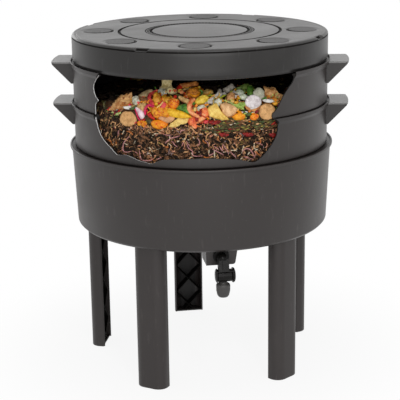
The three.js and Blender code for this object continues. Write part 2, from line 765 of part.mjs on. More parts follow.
const floorAbove = -neckDepth + wall;
const neckInner = neckRadius - wall - neckDraft - contentsGap * 3;
const heapFoot = wall * 2 + contentsGap;
const heapRadius = ledgeInnerRadius - contentsGap;
const compostTop = trayHeight - traySeatDepth + seatGap - neckDepth - contentsGap;

function compostSolid() {
  return turned([
    [0, floorAbove + contentsGap], [neckInner, floorAbove + contentsGap], [neckInner, wall],
    [heapRadius, wall * 2 + contentsGap * 2], [heapRadius, compostTop], [0, compostTop],
  ], heapSides);
}

// A tapered worm that winds across the compost's face, from a grid of rings
function wormSolid([middle, heightShare, span, rise, bends], grow) {
  const line = (share) => {
    const angle = middle + ((share - 0.5) * span) / heapRadius / degrees;
    const lift = rise * Math.sin(2 * Math.PI * bends * share);
    return new THREE.Vector3(...pointAt(angle, heapRadius - wormSink, compostTop * heightShare + lift));
  };
  const corners = [];
  const ring = (k) => {
    const share = k / wormSteps;
    const here = line(share);
    const ahead = line(share + 1 / wormSteps).sub(line(share - 1 / wormSteps)).normalize();
    const out = new THREE.Vector3(here.x, here.y, 0).normalize();
    const side = ahead.clone().cross(out).normalize();
    const thick = wormRadius * (1 - (1 - wormTaperShare) * Math.abs(2 * share - 1) ** 3) + grow;
    return Array.from({ length: wormSides }, (_, n) => {
      const turn = (2 * Math.PI * n) / wormSides;
      const point = here.clone().addScaledVector(out, thick * Math.cos(turn));
      return point.addScaledVector(side, thick * Math.sin(turn));
    });
  };
  const rings = Array.from({ length: wormSteps + 1 }, (_, k) => ring(k));
  const put = (...points) => points.forEach((point) => corners.push(point.x, point.y, point.z));
  for (let k = 0; k < wormSteps; k += 1) {
    for (let n = 0; n < wormSides; n += 1) {
      const m = (n + 1) % wormSides;
      put(rings[k][n], rings[k][m], rings[k + 1][m]);
      put(rings[k][n], rings[k + 1][m], rings[k + 1][n]);
    }
  }
  for (let n = 1; n < wormSides - 1; n += 1) {
    put(rings[0][0], rings[0][n + 1], rings[0][n]);
    put(rings[wormSteps][0], rings[wormSteps][n], rings[wormSteps][n + 1]);
  }
  return solidOfCorners(corners);
}

function rottedLayerSolid() {
  const low = floorAbove + contentsGap;
  const top = heapFoot - contentsGap;
  const bed = turned([[0, low], [neckInner, low], [neckInner, top], [0, top]], heapSides);
  const frontFrom = windowReachIn + contentsGap * 2;
  const front = windowBlock(
    frontFrom, heapRadius, upperTrayBottom - neckDepth, upperTrayBottom + top, windowFillInset,
  ).translate([0, 0, -upperTrayBottom]);
  return bed.add(front);
}

// Height of the scrap heap over its foot: banked up behind the window, low at the back, a little lumpy
function heapHeight(radius, angle) {
  const share = radius / heapRadius;
  const lump = heapLump * share * Math.sin(heapLumpWaves * angle * degrees);
  const bank = heapEdge + heapRise * (1 - share ** 4) + lump;
  const frontShare = share * Math.cos(angle * degrees);
  const slope = (frontShare - heapBankFromShare) / (heapBankToShare - heapBankFromShare);
  return heapBack + (bank - heapBack) * THREE.MathUtils.smoothstep(slope, 0, 1);
}

function heapSolid() {
  const corners = [];
  const at = (ring, k) => {
    const angle = (360 * k) / heapSides;
    const radius = heapRadius * Math.sqrt(ring / heapRings);
    return pointAt(angle, radius, heapFoot + heapHeight(radius, angle));
  };
  const foot = (k) => pointAt((360 * k) / heapSides, heapRadius, heapFoot);
  for (let k = 0; k < heapSides; k += 1) {
    corners.push(...at(0, 0), ...at(1, k), ...at(1, k + 1));
    for (let ring = 1; ring < heapRings; ring += 1) {
      corners.push(...at(ring, k), ...at(ring + 1, k), ...at(ring + 1, k + 1));
      corners.push(...at(ring, k), ...at(ring + 1, k + 1), ...at(ring, k + 1));
    }
    corners.push(...at(heapRings, k), ...foot(k), ...foot(k + 1));
    corners.push(...at(heapRings, k), ...foot(k + 1), ...at(heapRings, k + 1));
    corners.push(...pointAt(0, 0, heapFoot), ...foot(k + 1), ...foot(k));
  }
  return solidOfCorners(corners);
}

// How far out the heap's surface lies at a height over the tray's underside
function heapReach(height) {
  const climb = Math.max(0, height - heapFoot - heapEdge) / heapRise;
  return heapRadius * Math.max(scrapInmostShare, 1 - climb) ** 0.25;
}

// One scrap, grown by a clearance all round; a shell's own hollow is left out of its seat in the heap
function scrapSolid([, form, acrossShare, height, width, depth, rise, tilt], grow, filled) {
  const size = [width, depth, rise].map((length) => length + 2 * grow);
  let geometry = new THREE.BoxGeometry(1, 1, 1);
  if (form === 'disc') geometry = new THREE.CylinderGeometry(0.5, 0.5, 1, scrapSides);
  if (form === 'lump' || form === 'shell') {
    geometry = new THREE.SphereGeometry(0.5, scrapSides, scrapSides / 2);
  }
  geometry.scale(...size);
  let solid = closedSolid(geometry);
  if (form === 'shell' && !filled) {
    const hollow = new THREE.SphereGeometry(0.5, scrapSides, scrapSides / 2);
    hollow.scale(width - 2 * shellWall, depth * shellHollowShares[0], rise - 2 * shellWall);
    hollow.translate(0, -depth * shellHollowShares[1], 0);
    solid = solid.subtract(closedSolid(hollow));
  }
  const reach = Math.min(heapReach(height), heapRadius - depth * scrapSunkShare);
  const angle = Math.asin((acrossShare * heapRadius) / reach) / degrees;
  return turnedAbout(solid.rotate([0, tilt, 0]).translate([0, -reach, height]), angle);
}

// Scene graph

const charcoal = 0x4a4846;
const darkPlastic = 0x3a3836;
const rubber = 0x101010;

const wormery = new THREE.Group();

const base = new THREE.Group();
base.rotation.z = baseTurn * degrees;
const collector = meshOf('collector_tray', collectorSolid(), charcoal, 0.55);
collector.position.z = collectorGround;
base.add(collector);
const leg = legSolid();
for (let k = 0; k < legCount; k += 1) {
  base.add(meshOf(`leg_${k + 1}`, placedAsLeg(leg, k), darkPlastic, 0.6));
}
base.add(meshOf('tap_body', tapBodySolid(), 0x161514, 0.45));
base.add(meshOf('tap_plug', plugSolid(), 0x2a2826, 0.5));
base.add(meshOf('tap_plug_ring_left', plugRing(-tapBarrelLeft + tapRingInset), rubber, 0.8));
base.add(meshOf('tap_plug_ring_right', plugRing(tapBarrelRight - tapRingInset), rubber, 0.8));
base.add(meshOf('tap_lever', leverSolid(), 0x1d1c1b, 0.45));
const washers = [
  ['tap_washer_outer', tapOuterWasherRadius, washerOuterY - tapWasherThickness],
  ['tap_washer_inner', tapInnerWasherRadius, washerInnerY],
];
for (const [name, radius, from] of washers) {
  base.add(meshOf(name, washerSolid(radius, from, from + tapWasherThickness), rubber, 0.85));
}
base.add(meshOf('tap_nut', nutSolid(), 0x1d1c1b, 0.5));
wormery.add(base);

const cutTop = upperTrayRim + 2 * overrun;
const trayCut = windowBlock(windowReachIn, trayLipRadius + overrun, lowerTrayBottom, cutTop);
const tray = traySolid();
const trayPlaces = [['lower_tray', lowerTrayBottom], ['upper_tray', upperTrayBottom]];
for (const [name, height] of trayPlaces) {
  const cut = turnedAbout(trayCut, -trayTurn).translate([0, 0, -height]);
  const mesh = meshOf(name, tray.subtract(cut), charcoal, 0.55);
  mesh.position.z = height;
  mesh.rotation.z = trayTurn * degrees;
  wormery.add(mesh);
}

let compostBed = compostSolid();
worms.forEach((worm, k) => {
  compostBed = compostBed.subtract(wormSolid(worm, contentsGap));
  const mesh = meshOf(`worm_${k + 1}`, wormSolid(worm, 0), 0xb4555c, 0.4);
  mesh.position.z = lowerTrayBottom;
  wormery.add(mesh);
});
const compost = meshOf('compost', compostBed, 0x3b2a1f, 0.95);
compost.position.z = lowerTrayBottom;
wormery.add(compost);

// Each scrap is cut by those before it, and the heap and the layer under it by them all
let taken = null;
for (const scrap of scraps) {
  const seat = scrapSolid(scrap, contentsGap, true);
  const body = scrapSolid(scrap, 0, false);
  const colour = scrap[scrap.length - 1];
  const mesh = meshOf(`scrap_${scrap[0]}`, taken ? body.subtract(taken) : body, colour, 0.6);
  mesh.position.z = upperTrayBottom;
  wormery.add(mesh);
  taken = taken ? taken.add(seat) : seat;
}
const heap = meshOf('scrap_heap', mainBody(heapSolid().subtract(taken)), 0x8a6a2c, 0.8);
heap.position.z = upperTrayBottom;
wormery.add(heap);

const rottedBody = mainBody(rottedLayerSolid().subtract(taken));
const rottedLayer = meshOf('rotted_layer', rottedBody, 0x2e2a1a, 0.95);
rottedLayer.position.z = upperTrayBottom;
wormery.add(rottedLayer);

const lid = meshOf('lid', lidSolid(), 0x565453, 0.5);
lid.position.z = lidBottom;
lid.rotation.z = lidTurn * degrees;
wormery.add(lid);

export default wormery;
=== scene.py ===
import bmesh
import bpy
import math
import random

from mathutils import Matrix, Vector, noise
from mathutils.geometry import tessellate_polygon


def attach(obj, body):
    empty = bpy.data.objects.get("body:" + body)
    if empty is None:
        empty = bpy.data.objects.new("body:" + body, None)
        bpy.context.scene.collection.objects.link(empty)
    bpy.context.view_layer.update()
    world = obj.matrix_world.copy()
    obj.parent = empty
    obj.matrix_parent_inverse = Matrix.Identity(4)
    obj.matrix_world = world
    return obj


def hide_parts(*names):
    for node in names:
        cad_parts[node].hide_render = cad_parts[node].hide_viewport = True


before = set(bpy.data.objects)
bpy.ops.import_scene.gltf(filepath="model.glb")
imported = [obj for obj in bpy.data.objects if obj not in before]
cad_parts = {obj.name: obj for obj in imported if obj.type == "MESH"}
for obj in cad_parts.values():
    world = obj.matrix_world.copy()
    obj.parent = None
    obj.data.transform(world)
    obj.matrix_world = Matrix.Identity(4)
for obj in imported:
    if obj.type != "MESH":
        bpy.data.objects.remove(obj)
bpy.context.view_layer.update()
scene = bpy.context.scene
MM = 0.001


# Mesh tools

# Corners closer than this in mm are one, and a corner closer than this to the axis is on it
WELD = 0.001
FINE_WELD = 1e-4
ON_AXIS = 1e-6
# Most that a rounded corner takes of the side beside it
CORNER_SHARE = 0.48


def polar(angle, radius, height=0.0):
    """Point in millimetres; angle in degrees from the front (-Y) towards +X."""
    a = math.radians(angle)
    return Vector((radius * math.sin(a), -radius * math.cos(a), height))


def angle_of(p):
    """Angle in degrees of a point, from the front towards +X."""
    return math.degrees(math.atan2(p.x, -p.y))


def smoothstep(low, high, value):
    t = min(1.0, max(0.0, (value - low) / (high - low)))
    return t * t * (3 - 2 * t)


def arc(x, y, radius, turns):
    """Points about a centre, at turns in radians."""
    return [(x + radius * math.cos(a), y + radius * math.sin(a)) for a in turns]


def curve_point(p0, p1, p2, p3, t):
    """Place at share t of the way from p1 to p2, on a smooth curve through four points."""
    return 0.5 * ((2 * p1) + (p2 - p0) * t + (2 * p0 - 5 * p1 + 4 * p2 - p3) * t * t
                  + (3 * p1 - p0 - 3 * p2 + p3) * t ** 3)


def rounded(points, steps=4):
    """A closed outline of (x, y) or (x, y, radius); a corner with a radius and x above 0 is rounded."""
    out = []
    count = len(points)
    for i, p in enumerate(points):
        radius = p[2] if len(p) > 2 else 0.0
        here = Vector(p[:2])
        a = Vector(points[i - 1][:2]) - here
        b = Vector(points[(i + 1) % count][:2]) - here
        la, lb = a.length, b.length
        if radius <= 0 or here.x <= ON_AXIS or min(la, lb) < ON_AXIS:
            out.append(here)
            continue
        a.normalize()
        b.normalize()
        half = math.acos(max(-1.0, min(1.0, a.dot(b)))) / 2
        reach = min(radius / max(math.tan(half), 1e-4), la * CORNER_SHARE, lb * CORNER_SHARE)
        start = here + a * reach
        end = here + b * reach
        for k in range(steps + 1):
            t = k / steps
            out.append(start.lerp(here, t).lerp(here.lerp(end, t), t))
    return out


def face_outward(bm):
    bmesh.ops.recalc_face_normals(bm, faces=bm.faces[:])


def move(bm, matrix):
    bmesh.ops.transform(bm, matrix=matrix, verts=bm.verts[:])


def paint(bm, index):
    for f in bm.faces:
        f.material_index = index


def as_object(bm, name):
    mesh = bpy.data.meshes.new(name)
    bm.to_mesh(mesh)
    bm.free()
    obj = bpy.data.objects.new(name, mesh)
    scene.collection.objects.link(obj)
    return obj


def finish_mesh(bm, name, materials, body, angle):
    """Turns a bmesh in millimetres into an object in metres that rides on a body."""
    bmesh.ops.remove_doubles(bm, verts=bm.verts[:], dist=WELD)
    face_outward(bm)
    limit = math.radians(angle)
    for f in bm.faces:
        f.smooth = True
    for e in bm.edges:
        if len(e.link_faces) == 2 and e.calc_face_angle(0.0) > limit:
            e.smooth = False
    bmesh.ops.scale(bm, vec=(MM, MM, MM), verts=bm.verts[:])
    obj = as_object(bm, name)
    for material in materials:
        obj.data.materials.append(material)
    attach(obj, body)
    return obj


def soften(obj, width, angle):
    """Small bevels on the edges that are sharper than an angle."""
    bevel = obj.modifiers.new("soft edges", "BEVEL")
    bevel.width = width * MM
    bevel.segments = 2
    bevel.limit_method = "ANGLE"
    bevel.angle_limit = math.radians(angle)


def lathe_solid(profile, sides, steps=4):
    """Closed body turned about Z from a profile of (radius, height) or (radius, height, rounding)."""
    bm = bmesh.new()
    profile = rounded(profile, steps)
    count = len(profile)
    rings = []
    for k in range(sides):
        rings.append([bm.verts.new(polar(360.0 * k / sides, max(p[0], 0.0), p[1])) for p in profile])
    for k in range(sides):
        left = rings[k]
        right = rings[(k + 1) % sides]
        for i in range(count):
            j = (i + 1) % count
            corners = [left[i], right[i], right[j], left[j]]
            if profile[i][0] <= ON_AXIS and profile[j][0] <= ON_AXIS:
                continue
            if profile[i][0] <= ON_AXIS:
                corners = [left[i], right[j], left[j]]
            elif profile[j][0] <= ON_AXIS:
                corners = [left[i], right[i], left[j]]
            bm.faces.new(corners)
    bmesh.ops.remove_doubles(bm, verts=bm.verts[:], dist=FINE_WELD)
    face_outward(bm)
    return bm


def join_rings(bm, rings):
    """Quads between successive closed rings of corners."""
    for a, b in zip(rings, rings[1:]):
        for k in range(len(a)):
            m = (k + 1) % len(a)
            bm.faces.new([a[k], a[m], b[m], b[k]])


def body_of(rings):
    """Closed body through successive rings of points."""
    bm = bmesh.new()
    made = [[bm.verts.new(p) for p in ring] for ring in rings]
    join_rings(bm, made)
    bm.faces.new(made[0][::-1])
    bm.faces.new(made[-1])
    return bm


def prism(outline, low, high):
    """Upright prism of a closed (x, y) outline."""
    bm = bmesh.new()
    bottom = [bm.verts.new((p[0], p[1], low)) for p in outline]
    top = [bm.verts.new((p[0], p[1], high)) for p in outline]
    join_rings(bm, [bottom, top])
    for ring, flip in ((bottom, True), (top, False)):
        for t in tessellate_polygon([[v.co for v in ring]]):
            corners = [ring[i] for i in t]
            bm.faces.new(corners[::-1] if flip else corners)
    face_outward(bm)
    return bm


def tube(path, radius, sides):
    """Round rod along a path of points."""
    rings = []
    normal = None
    for i, p in enumerate(path):
        ahead = (path[min(i + 1, len(path) - 1)] - path[max(i - 1, 0)]).normalized()
        if normal is None:
            normal = ahead.orthogonal().normalized()
        normal = (normal - ahead * normal.dot(ahead)).normalized()
        side = ahead.cross(normal)
        turns = [2 * math.pi * k / sides for k in range(sides)]
        rings.append([p + normal * (radius * math.cos(a)) + side * (radius * math.sin(a)) for a in turns])
    bm = body_of(rings)
    face_outward(bm)
    return bm


def boolean(bm, other, operation):
    """Exact boolean of two closed bmeshes; both are used up. Cut faces get material index 1."""
    if operation == "DIFFERENCE":
        paint(other, 1)
    a = as_object(bm, "tool_a")
    b = as_object(other, "tool_b")
    for o in (a, b):
        for _ in range(2):
            o.data.materials.append(None)
    mod = a.modifiers.new("cut", "BOOLEAN")
    mod.operation = operation
    mod.object = b
    mod.solver = "EXACT"
    mod.use_hole_tolerant = True
    result = bpy.data.meshes.new_from_object(a.evaluated_get(bpy.context.evaluated_depsgraph_get()))
    out = bmesh.new()
    out.from_mesh(result)
    bpy.data.meshes.remove(result)
    for o in (a, b):
        mesh = o.data
        bpy.data.objects.remove(o)
        bpy.data.meshes.remove(mesh)
    return out


def merge(bm, other):
    """Adds the geometry of another bmesh, which is used up."""
    mesh = bpy.data.meshes.new("merge")
    other.to_mesh(mesh)
    other.free()
    bm.from_mesh(mesh)
    bpy.data.meshes.remove(mesh)
    return bm


# Material tools

# Places of the colours among the colour mix node's sockets
MIX_COLOURS = (6, 7)
MIX_RESULT = 2


def new_material(name):
    mat = bpy.data.materials.new(name)
    mat.use_nodes = True
    return mat, mat.node_tree, mat.node_tree.nodes["Principled BSDF"]


def feed(tree, socket, value):
    """Gives a socket what it takes: another socket's value, a number or a colour."""
    if isinstance(value, bpy.types.NodeSocket):
        tree.links.new(value, socket)
    else:
        socket.default_value = value


def node(tree, kind, **values):
    """A node of a kind, with what its sockets take and its own settings."""
    n = tree.nodes.new(kind)
    for key, value in values.items():
        if key in n.inputs:
            feed(tree, n.inputs[key], value)
        else:
            setattr(n, key, value)
    return n


def place_coords(tree):
    return node(tree, "ShaderNodeTexCoord").outputs["Object"]


def spread(tree, value, start=(0.0, 1.0), end=(0.0, 1.0), interpolation="LINEAR"):
    """Maps a value from one pair of limits to another."""
    n = node(tree, "ShaderNodeMapRange", interpolation_type=interpolation, Value=value)
    for name, limits in (("From", start), ("To", end)):
        n.inputs[name + " Min"].default_value = limits[0]
        n.inputs[name + " Max"].default_value = limits[1]
    return n.outputs["Result"]


def maths(tree, operation, a, b):
    n = node(tree, "ShaderNodeMath", operation=operation)
    feed(tree, n.inputs[0], a)
    feed(tree, n.inputs[1], b)
    return n.outputs["Value"]


def length_of(tree, vector):
    n = node(tree, "ShaderNodeVectorMath", operation="LENGTH")
    feed(tree, n.inputs[0], vector)
    return n.outputs["Value"]


def noise_fac(tree, coords, scale, detail, roughness=0.55, low=0.35, high=0.65, stretch=None):
    """Noise as a share from 0 to 1, which it reaches at its low and high values."""
    if stretch:
        coords = node(tree, "ShaderNodeMapping", Vector=coords, Scale=stretch).outputs["Vector"]
    tex = node(tree, "ShaderNodeTexNoise", Vector=coords, Scale=scale, Detail=detail, Roughness=roughness)
    return spread(tree, tex.outputs["Fac"], (low, high))


def mix_colour(tree, fac, *colours):
    mix = node(tree, "ShaderNodeMix", data_type="RGBA", Factor=fac)
    for place, colour in zip(MIX_COLOURS, colours):
        plain = not isinstance(colour, bpy.types.NodeSocket)
        feed(tree, mix.inputs[place], (*colour, 1.0) if plain else colour)
    return mix.outputs[MIX_RESULT]


def mix_shaders(tree, fac, first, second):
    mix = node(tree, "ShaderNodeMixShader", Fac=fac)
    feed(tree, mix.inputs[1], first)
    feed(tree, mix.inputs[2], second)
    return mix.outputs["Shader"]


def add_bump(tree, bsdf, height, strength, distance, previous=None):
    bump = node(tree, "ShaderNodeBump", Strength=strength, Distance=distance, Height=height)
    if previous is not None:
        feed(tree, bump.inputs["Normal"], previous)
    feed(tree, bsdf.inputs["Normal"], bump.outputs["Normal"])
    return bump.outputs["Normal"]


def set_surface(tree, bsdf, colour, rough, specular):
    feed(tree, bsdf.inputs["Base Color"], colour)
    feed(tree, bsdf.inputs["Roughness"], rough)
    feed(tree, bsdf.inputs["Specular IOR Level"], specular)


# Materials

# Noise scales per metre of the marks on plastic
DUST_SCALE = 7.0
WAVE_SCALE = 22.0
TICK_SCALE = 150.0
SPECK_SCALE = 260.0
GRAIN_SCALE = 620.0
SAW_SCALE = 420.0
TICK_STRETCH = (1.0, 1.0, 0.16)
# The sawn edge has a painted highlight between these distances from the axis and from this far to the left,
# in m
SKIN_FROM = (0.2536, 0.2541)
SKIN_TO = (0.2562, 0.2556)
HIGHLIGHT_LEFT = (-0.055, -0.095)


def plastic(name, colour, dust, rough=(0.40, 0.54), grain=0.12, specular=0.5, dusty=(0.5, 0.8), scuffs=0.26):
    """Moulded plastic: fine grain, cloudy dust, short rubbed marks and specks."""
    mat, tree, bsdf = new_material(name)
    coords = place_coords(tree)
    cloudy = noise_fac(tree, coords, DUST_SCALE, 5.0, 0.6, *dusty)
    ticks = noise_fac(tree, coords, TICK_SCALE, 3.0, 0.5, 0.62, 0.78, TICK_STRETCH)
    specks = noise_fac(tree, coords, SPECK_SCALE, 2.0, 0.5, 0.70, 0.76)
    marks = maths(tree, "MULTIPLY", maths(tree, "MAXIMUM", ticks, specks), scuffs)
    rubbed = [min(1.0, c * 2.2 + 0.03) for c in dust]
    marked = mix_colour(tree, marks, mix_colour(tree, cloudy, colour, dust), rubbed)
    set_surface(tree, bsdf, marked, spread(tree, cloudy, end=rough), specular)
    fine = noise_fac(tree, coords, GRAIN_SCALE, 3.0, 0.6, 0.3, 0.7)
    wave = noise_fac(tree, coords, WAVE_SCALE, 2.0, 0.5, 0.2, 0.8)
    add_bump(tree, bsdf, wave, 0.06, 0.002, add_bump(tree, bsdf, fine, grain, 0.0004))
    mat.diffuse_color = (*colour, 1.0)
    return mat


def cut_edge_painted_highlight(name, pale, dark):
    """The sawn edge: a painted highlight on the outer skin of its left side, dark further in and to the
    right.
    """
    mat, tree, bsdf = new_material(name)
    coords = place_coords(tree)
    parts = node(tree, "ShaderNodeSeparateXYZ", Vector=coords).outputs
    flat = node(tree, "ShaderNodeCombineXYZ", X=parts["X"], Y=parts["Y"])
    length = length_of(tree, flat.outputs["Vector"])
    line = maths(tree, "MULTIPLY", spread(tree, length, SKIN_FROM), spread(tree, length, SKIN_TO))
    # Painted highlight: only the outer skin of the left side is pale
    highlight_share = maths(tree, "MULTIPLY", line, spread(tree, parts["X"], HIGHLIGHT_LEFT))
    saw = noise_fac(tree, coords, SAW_SCALE, 4.0, 0.6, 0.25, 0.75)
    light = mix_colour(tree, saw, [c * 0.8 for c in pale], pale)
    deep = mix_colour(tree, saw, dark, [c * 1.5 for c in dark])
    set_surface(tree, bsdf, mix_colour(tree, highlight_share, deep, light), 0.65, 0.5)
    add_bump(tree, bsdf, saw, 0.5, 0.0006)
    mat.diffuse_color = (*pale, 1.0)
    return mat


def organic(name, dark, light, scale, rough, bump, specular, spots=None):
    """Moist plant or soil matter: mottled, with fine dark specks of painted crease shade and pale specks of
    painted highlight.
    """
    mat, tree, bsdf = new_material(name)
    coords = place_coords(tree)
    fac = noise_fac(tree, coords, scale * 1.7, 7.0, 0.7, 0.38, 0.58)
    colour = mix_colour(tree, fac, [c * 0.8 for c in dark], light)
    if spots:
        dots = noise_fac(tree, coords, scale * 2.7, 3.0, 0.5, 0.58, 0.68)
        colour = mix_colour(tree, dots, colour, spots)
    # Painted shade: dark specks that stand for shade in creases
    crease_shade_specks = noise_fac(tree, coords, scale * 7.0, 3.0, 0.6, 0.66, 0.78)
    colour = mix_colour(tree, crease_shade_specks, colour, [c * 0.35 for c in dark])
    # Painted highlight: pale specks that stand for glints
    highlight_specks = noise_fac(tree, coords, scale * 5.0 + 37.0, 3.0, 0.6, 0.64, 0.74)
    colour = mix_colour(tree, highlight_specks, colour, [min(1.0, c * 1.35 + 0.04) for c in light])
    damp = noise_fac(tree, coords, scale * 1.2 + 11.0, 3.0)
    set_surface(tree, bsdf, colour, spread(tree, damp, end=(rough * 0.45, rough * 1.15)), specular)
    tall = noise_fac(tree, coords, scale * 3.5, 6.0, 0.7, 0.25, 0.75)
    add_bump(tree, bsdf, tall, bump, 0.0012)
    mat.diffuse_color = (*light, 1.0)
    return mat


SHELL = plastic("shell_plastic", (0.0255, 0.0210, 0.0198), (0.0370, 0.0320, 0.0305), specular=0.47)
LID = plastic("lid_plastic", (0.0165, 0.0150, 0.0142), (0.027, 0.0255, 0.0245),
              rough=(0.36, 0.48), specular=0.36)
# Painted light: the lid's top is a paler copy of its plastic, as light falling from above; its cloudy
# mottling is dust
LID_TOP_PAINTED_LIGHT = plastic("lid_top_painted_light", (0.029, 0.0265, 0.0255), (0.066, 0.063, 0.062),
                   rough=(0.32, 0.46), specular=0.48, dusty=(0.36, 0.72))
LID_PAD = plastic("lid_pad_plastic", (0.016, 0.0145, 0.014), (0.028, 0.026, 0.025),
                  rough=(0.46, 0.56), grain=0.6, specular=0.42)
# Painted shade: a near-black copy of the lid's plastic for its grooves, notches, edge groove and the inner
# sides of the pads' dishes
LID_PAINTED_SHADE = plastic("lid_recess_painted_shade", (0.008, 0.007, 0.0065), (0.016, 0.015, 0.014),
                   rough=(0.6, 0.75), grain=0.4, specular=0.08)
LEGS = plastic("leg_plastic", (0.0235, 0.0185, 0.0175), (0.0330, 0.0275, 0.0260),
               rough=(0.44, 0.58), specular=0.45)
# Painted shade: darker copies of the legs' plastic for the inside of the channel and for its ribs
LEG_INSIDE_PAINTED_SHADE = plastic("leg_inside_plastic", (0.009, 0.008, 0.0075), (0.018, 0.016, 0.015),
                     rough=(0.5, 0.65), specular=0.3)
LEG_RIBS_PAINTED_SHADE = plastic("leg_rib_plastic", (0.003, 0.0025, 0.002), (0.006, 0.005, 0.0045),
                   rough=(0.6, 0.75), scuffs=0.05, specular=0.06)
# Painted light: the handle's plate is a much paler copy of the trays' plastic, as light falling on its top
HANDLE_PLATE_PAINTED_LIGHT = plastic("handle_plate_painted_light", (0.085, 0.081, 0.079), (0.170, 0.165, 0.162),
                  rough=(0.32, 0.44), grain=0.3, specular=0.9)
# Painted shade: the webs under the handle's plate are a darker copy of the trays' plastic
HANDLE_WEBS_PAINTED_SHADE = plastic("handle_web_painted_shade", (0.018, 0.0155, 0.0145), (0.032, 0.028, 0.026),
               rough=(0.5, 0.62), grain=0.4)
# The sawn edge, with a painted highlight on its left side
CUT = cut_edge_painted_highlight("cut_edge_painted_highlight", (0.86, 0.85, 0.84), (0.008, 0.0075, 0.007))
TAP = plastic("tap_plastic", (0.005, 0.0045, 0.004), (0.012, 0.011, 0.0105),
              rough=(0.26, 0.40), grain=0.08, specular=0.13)
SPOUT = plastic("tap_spout_plastic", (0.030, 0.0275, 0.0260), (0.050, 0.047, 0.045),
                rough=(0.38, 0.5), grain=0.2)
RUBBER = plastic("tap_rubber", (0.004, 0.004, 0.004), (0.010, 0.010, 0.010), rough=(0.7, 0.85), grain=0.3)

# Sizes in mm and turns in degrees, as in the frame

BASE_TURN = 8.9
TRAY_TURN = -3.6
LID_TURN = -2.5
GROUND = 293.0
UPPER_STEP = 6.0
LOWER_STEP = 3.4
LOWER = 453.8
UPPER = 536.4
TRAY = 86.8
TRAY_FLOOR_DROP = 16.0
TRAY_FLOOR = 2.5
LID_FOOT = 623.5
LID_TOP = 677.2

HANDLE_REACH = 297.0
HANDLE_HALF = 46.0
HANDLE_CORNER = 9.0
HANDLE_THICK = 3.0
HANDLE_ROOT = 250.0
# How far below the tray's upper side the handle lies, and the ledge that it rests on
HANDLE_DROP = 2.5
LEDGE_DROP = 8.5
# How far down a handle's walls reach, and the tray's radii below and above the ledge
WEB_DEPTH = 43.0
TRAY_SIDE = 253.8
TRAY_RIM = 259.0
# How far below its foot the window's cut goes on in each tray
UPPER_CUT = 17.5
LOWER_CUT = 3.0
# Drain holes of a tray: how many on a circle, and its radius
HOLE_ROWS = ((1, 0.0), (7, 86.3), (14, 184.9))
HOLE_RADIUS = 5.0
HOLE_SIDES = 14

LEG_COUNT = 5
LEG_CIRCLE = 226.9
LEG_WIDE = 63.3
LEG_DEEP = 27.5
LEG_WALL = 3.0
LEG_ROUND = 20.0
LEG_GAP = 0.3
# The leg's foot: thickness, and how far it is inset
FOOT_THICK = 3.0
FOOT_INSET = 1.0
# The plug that holds a leg: inset, depth, corners, and its ends above and below the collector's base
PLUG_INSET = 3.5
PLUG_DEEP = 18.0
PLUG_ROUND = 16.5
PLUG_DOWN = 26
PLUG_UP = 2
RIB_PITCH = 63.0
RIB_RUN = 57.3
RIB_LOW = 14.0
RIB_HALF_THICK = 1.1
RIB_COUNT = 5
# In the channel's depth a rib begins here and runs this far; it reaches into the walls by this much
RIB_FROM = -12.0
RIB_DEPTH = 22.6
RIB_BITE = 0.9

WALL_INNER = 248.6
HEAP_FOOT = 541.8
HEAP_EDGE = 18.0
HEAP_RISE = 44.0
HEAP_BACK = 6.0
HEAP_FROM_SHARE = 0.2
HEAP_TO_SHARE = 0.6
FOOD_REACH = 247.0
SETTLE_FROM = 234.0
SETTLE_ROOM = 10.5


# The window cut through both trays

WINDOW_ANGLES = [
    -0.85, -0.94, -0.995, -1.00, -0.975, -0.94, -0.98, -0.985, -0.965, -0.93, -0.865, -0.79, -0.73, -0.635,
    -0.525, -0.435, -0.385, -0.31, -0.15, -0.01, 0.17, 0.325, 0.41, 0.455, 0.535, 0.61, 0.645, 0.655,
    0.64, 0.60, 0.60, 0.64, 0.695, 0.75, 0.81, 0.83, 0.80, 0.62, 0.40, 0.18, -0.05, -0.30, -0.55,
]
WINDOW_HEIGHTS = [
    1.00, 0.925, 0.84, 0.765, 0.69, 0.655, 0.60, 0.47, 0.36, 0.26, 0.175, 0.11, 0.05, 0.065,
    0.025, 0.00, 0.005, 0.05, 0.065, 0.075, 0.065, 0.035, 0.00, 0.005, 0.085, 0.20, 0.295, 0.39,
    0.445, 0.485, 0.53, 0.575, 0.69, 0.78, 0.865, 0.93, 1.00, 1.00, 1.00, 1.00, 1.00, 1.00, 1.00,
]
WINDOW_TURN = 52.5
WINDOW_SILL = 463.8
WINDOW_HEAD = 626.2
# How far the saw strays sideways in degrees and upwards in mm
SAW_STRAY = (0.12, 0.5)
# The wedge with the window's outline lies between these distances in front of the axis
WEDGE_FRONT = 560.0
WEDGE_BACK = 110.0
# The cut is made between these radii
CUT_NEAR = 236.0
CUT_FAR = 264.0


def window_outline():
    """The cut as (angle, height), closed, with the small unevenness of a saw cut."""
    rise = WINDOW_HEAD - WINDOW_SILL
    rough = [(WINDOW_TURN * a, WINDOW_SILL + rise * h) for a, h in zip(WINDOW_ANGLES, WINDOW_HEIGHTS)]
    rng = random.Random(5)
    fine = []
    count = len(rough)
    for i in range(count):
        near = [Vector(rough[(i + k) % count]) for k in (-1, 0, 1, 2)]
        straight = min(near[1].y, near[2].y) > WINDOW_HEAD - 1
        steps = 1 if straight else 4
        for k in range(steps):
            q = curve_point(*near, k / steps)
            if not straight and k:
                q = q + Vector([rng.uniform(-stray, stray) for stray in SAW_STRAY])
            fine.append((q.x, min(q.y, WINDOW_HEAD)))
    return fine


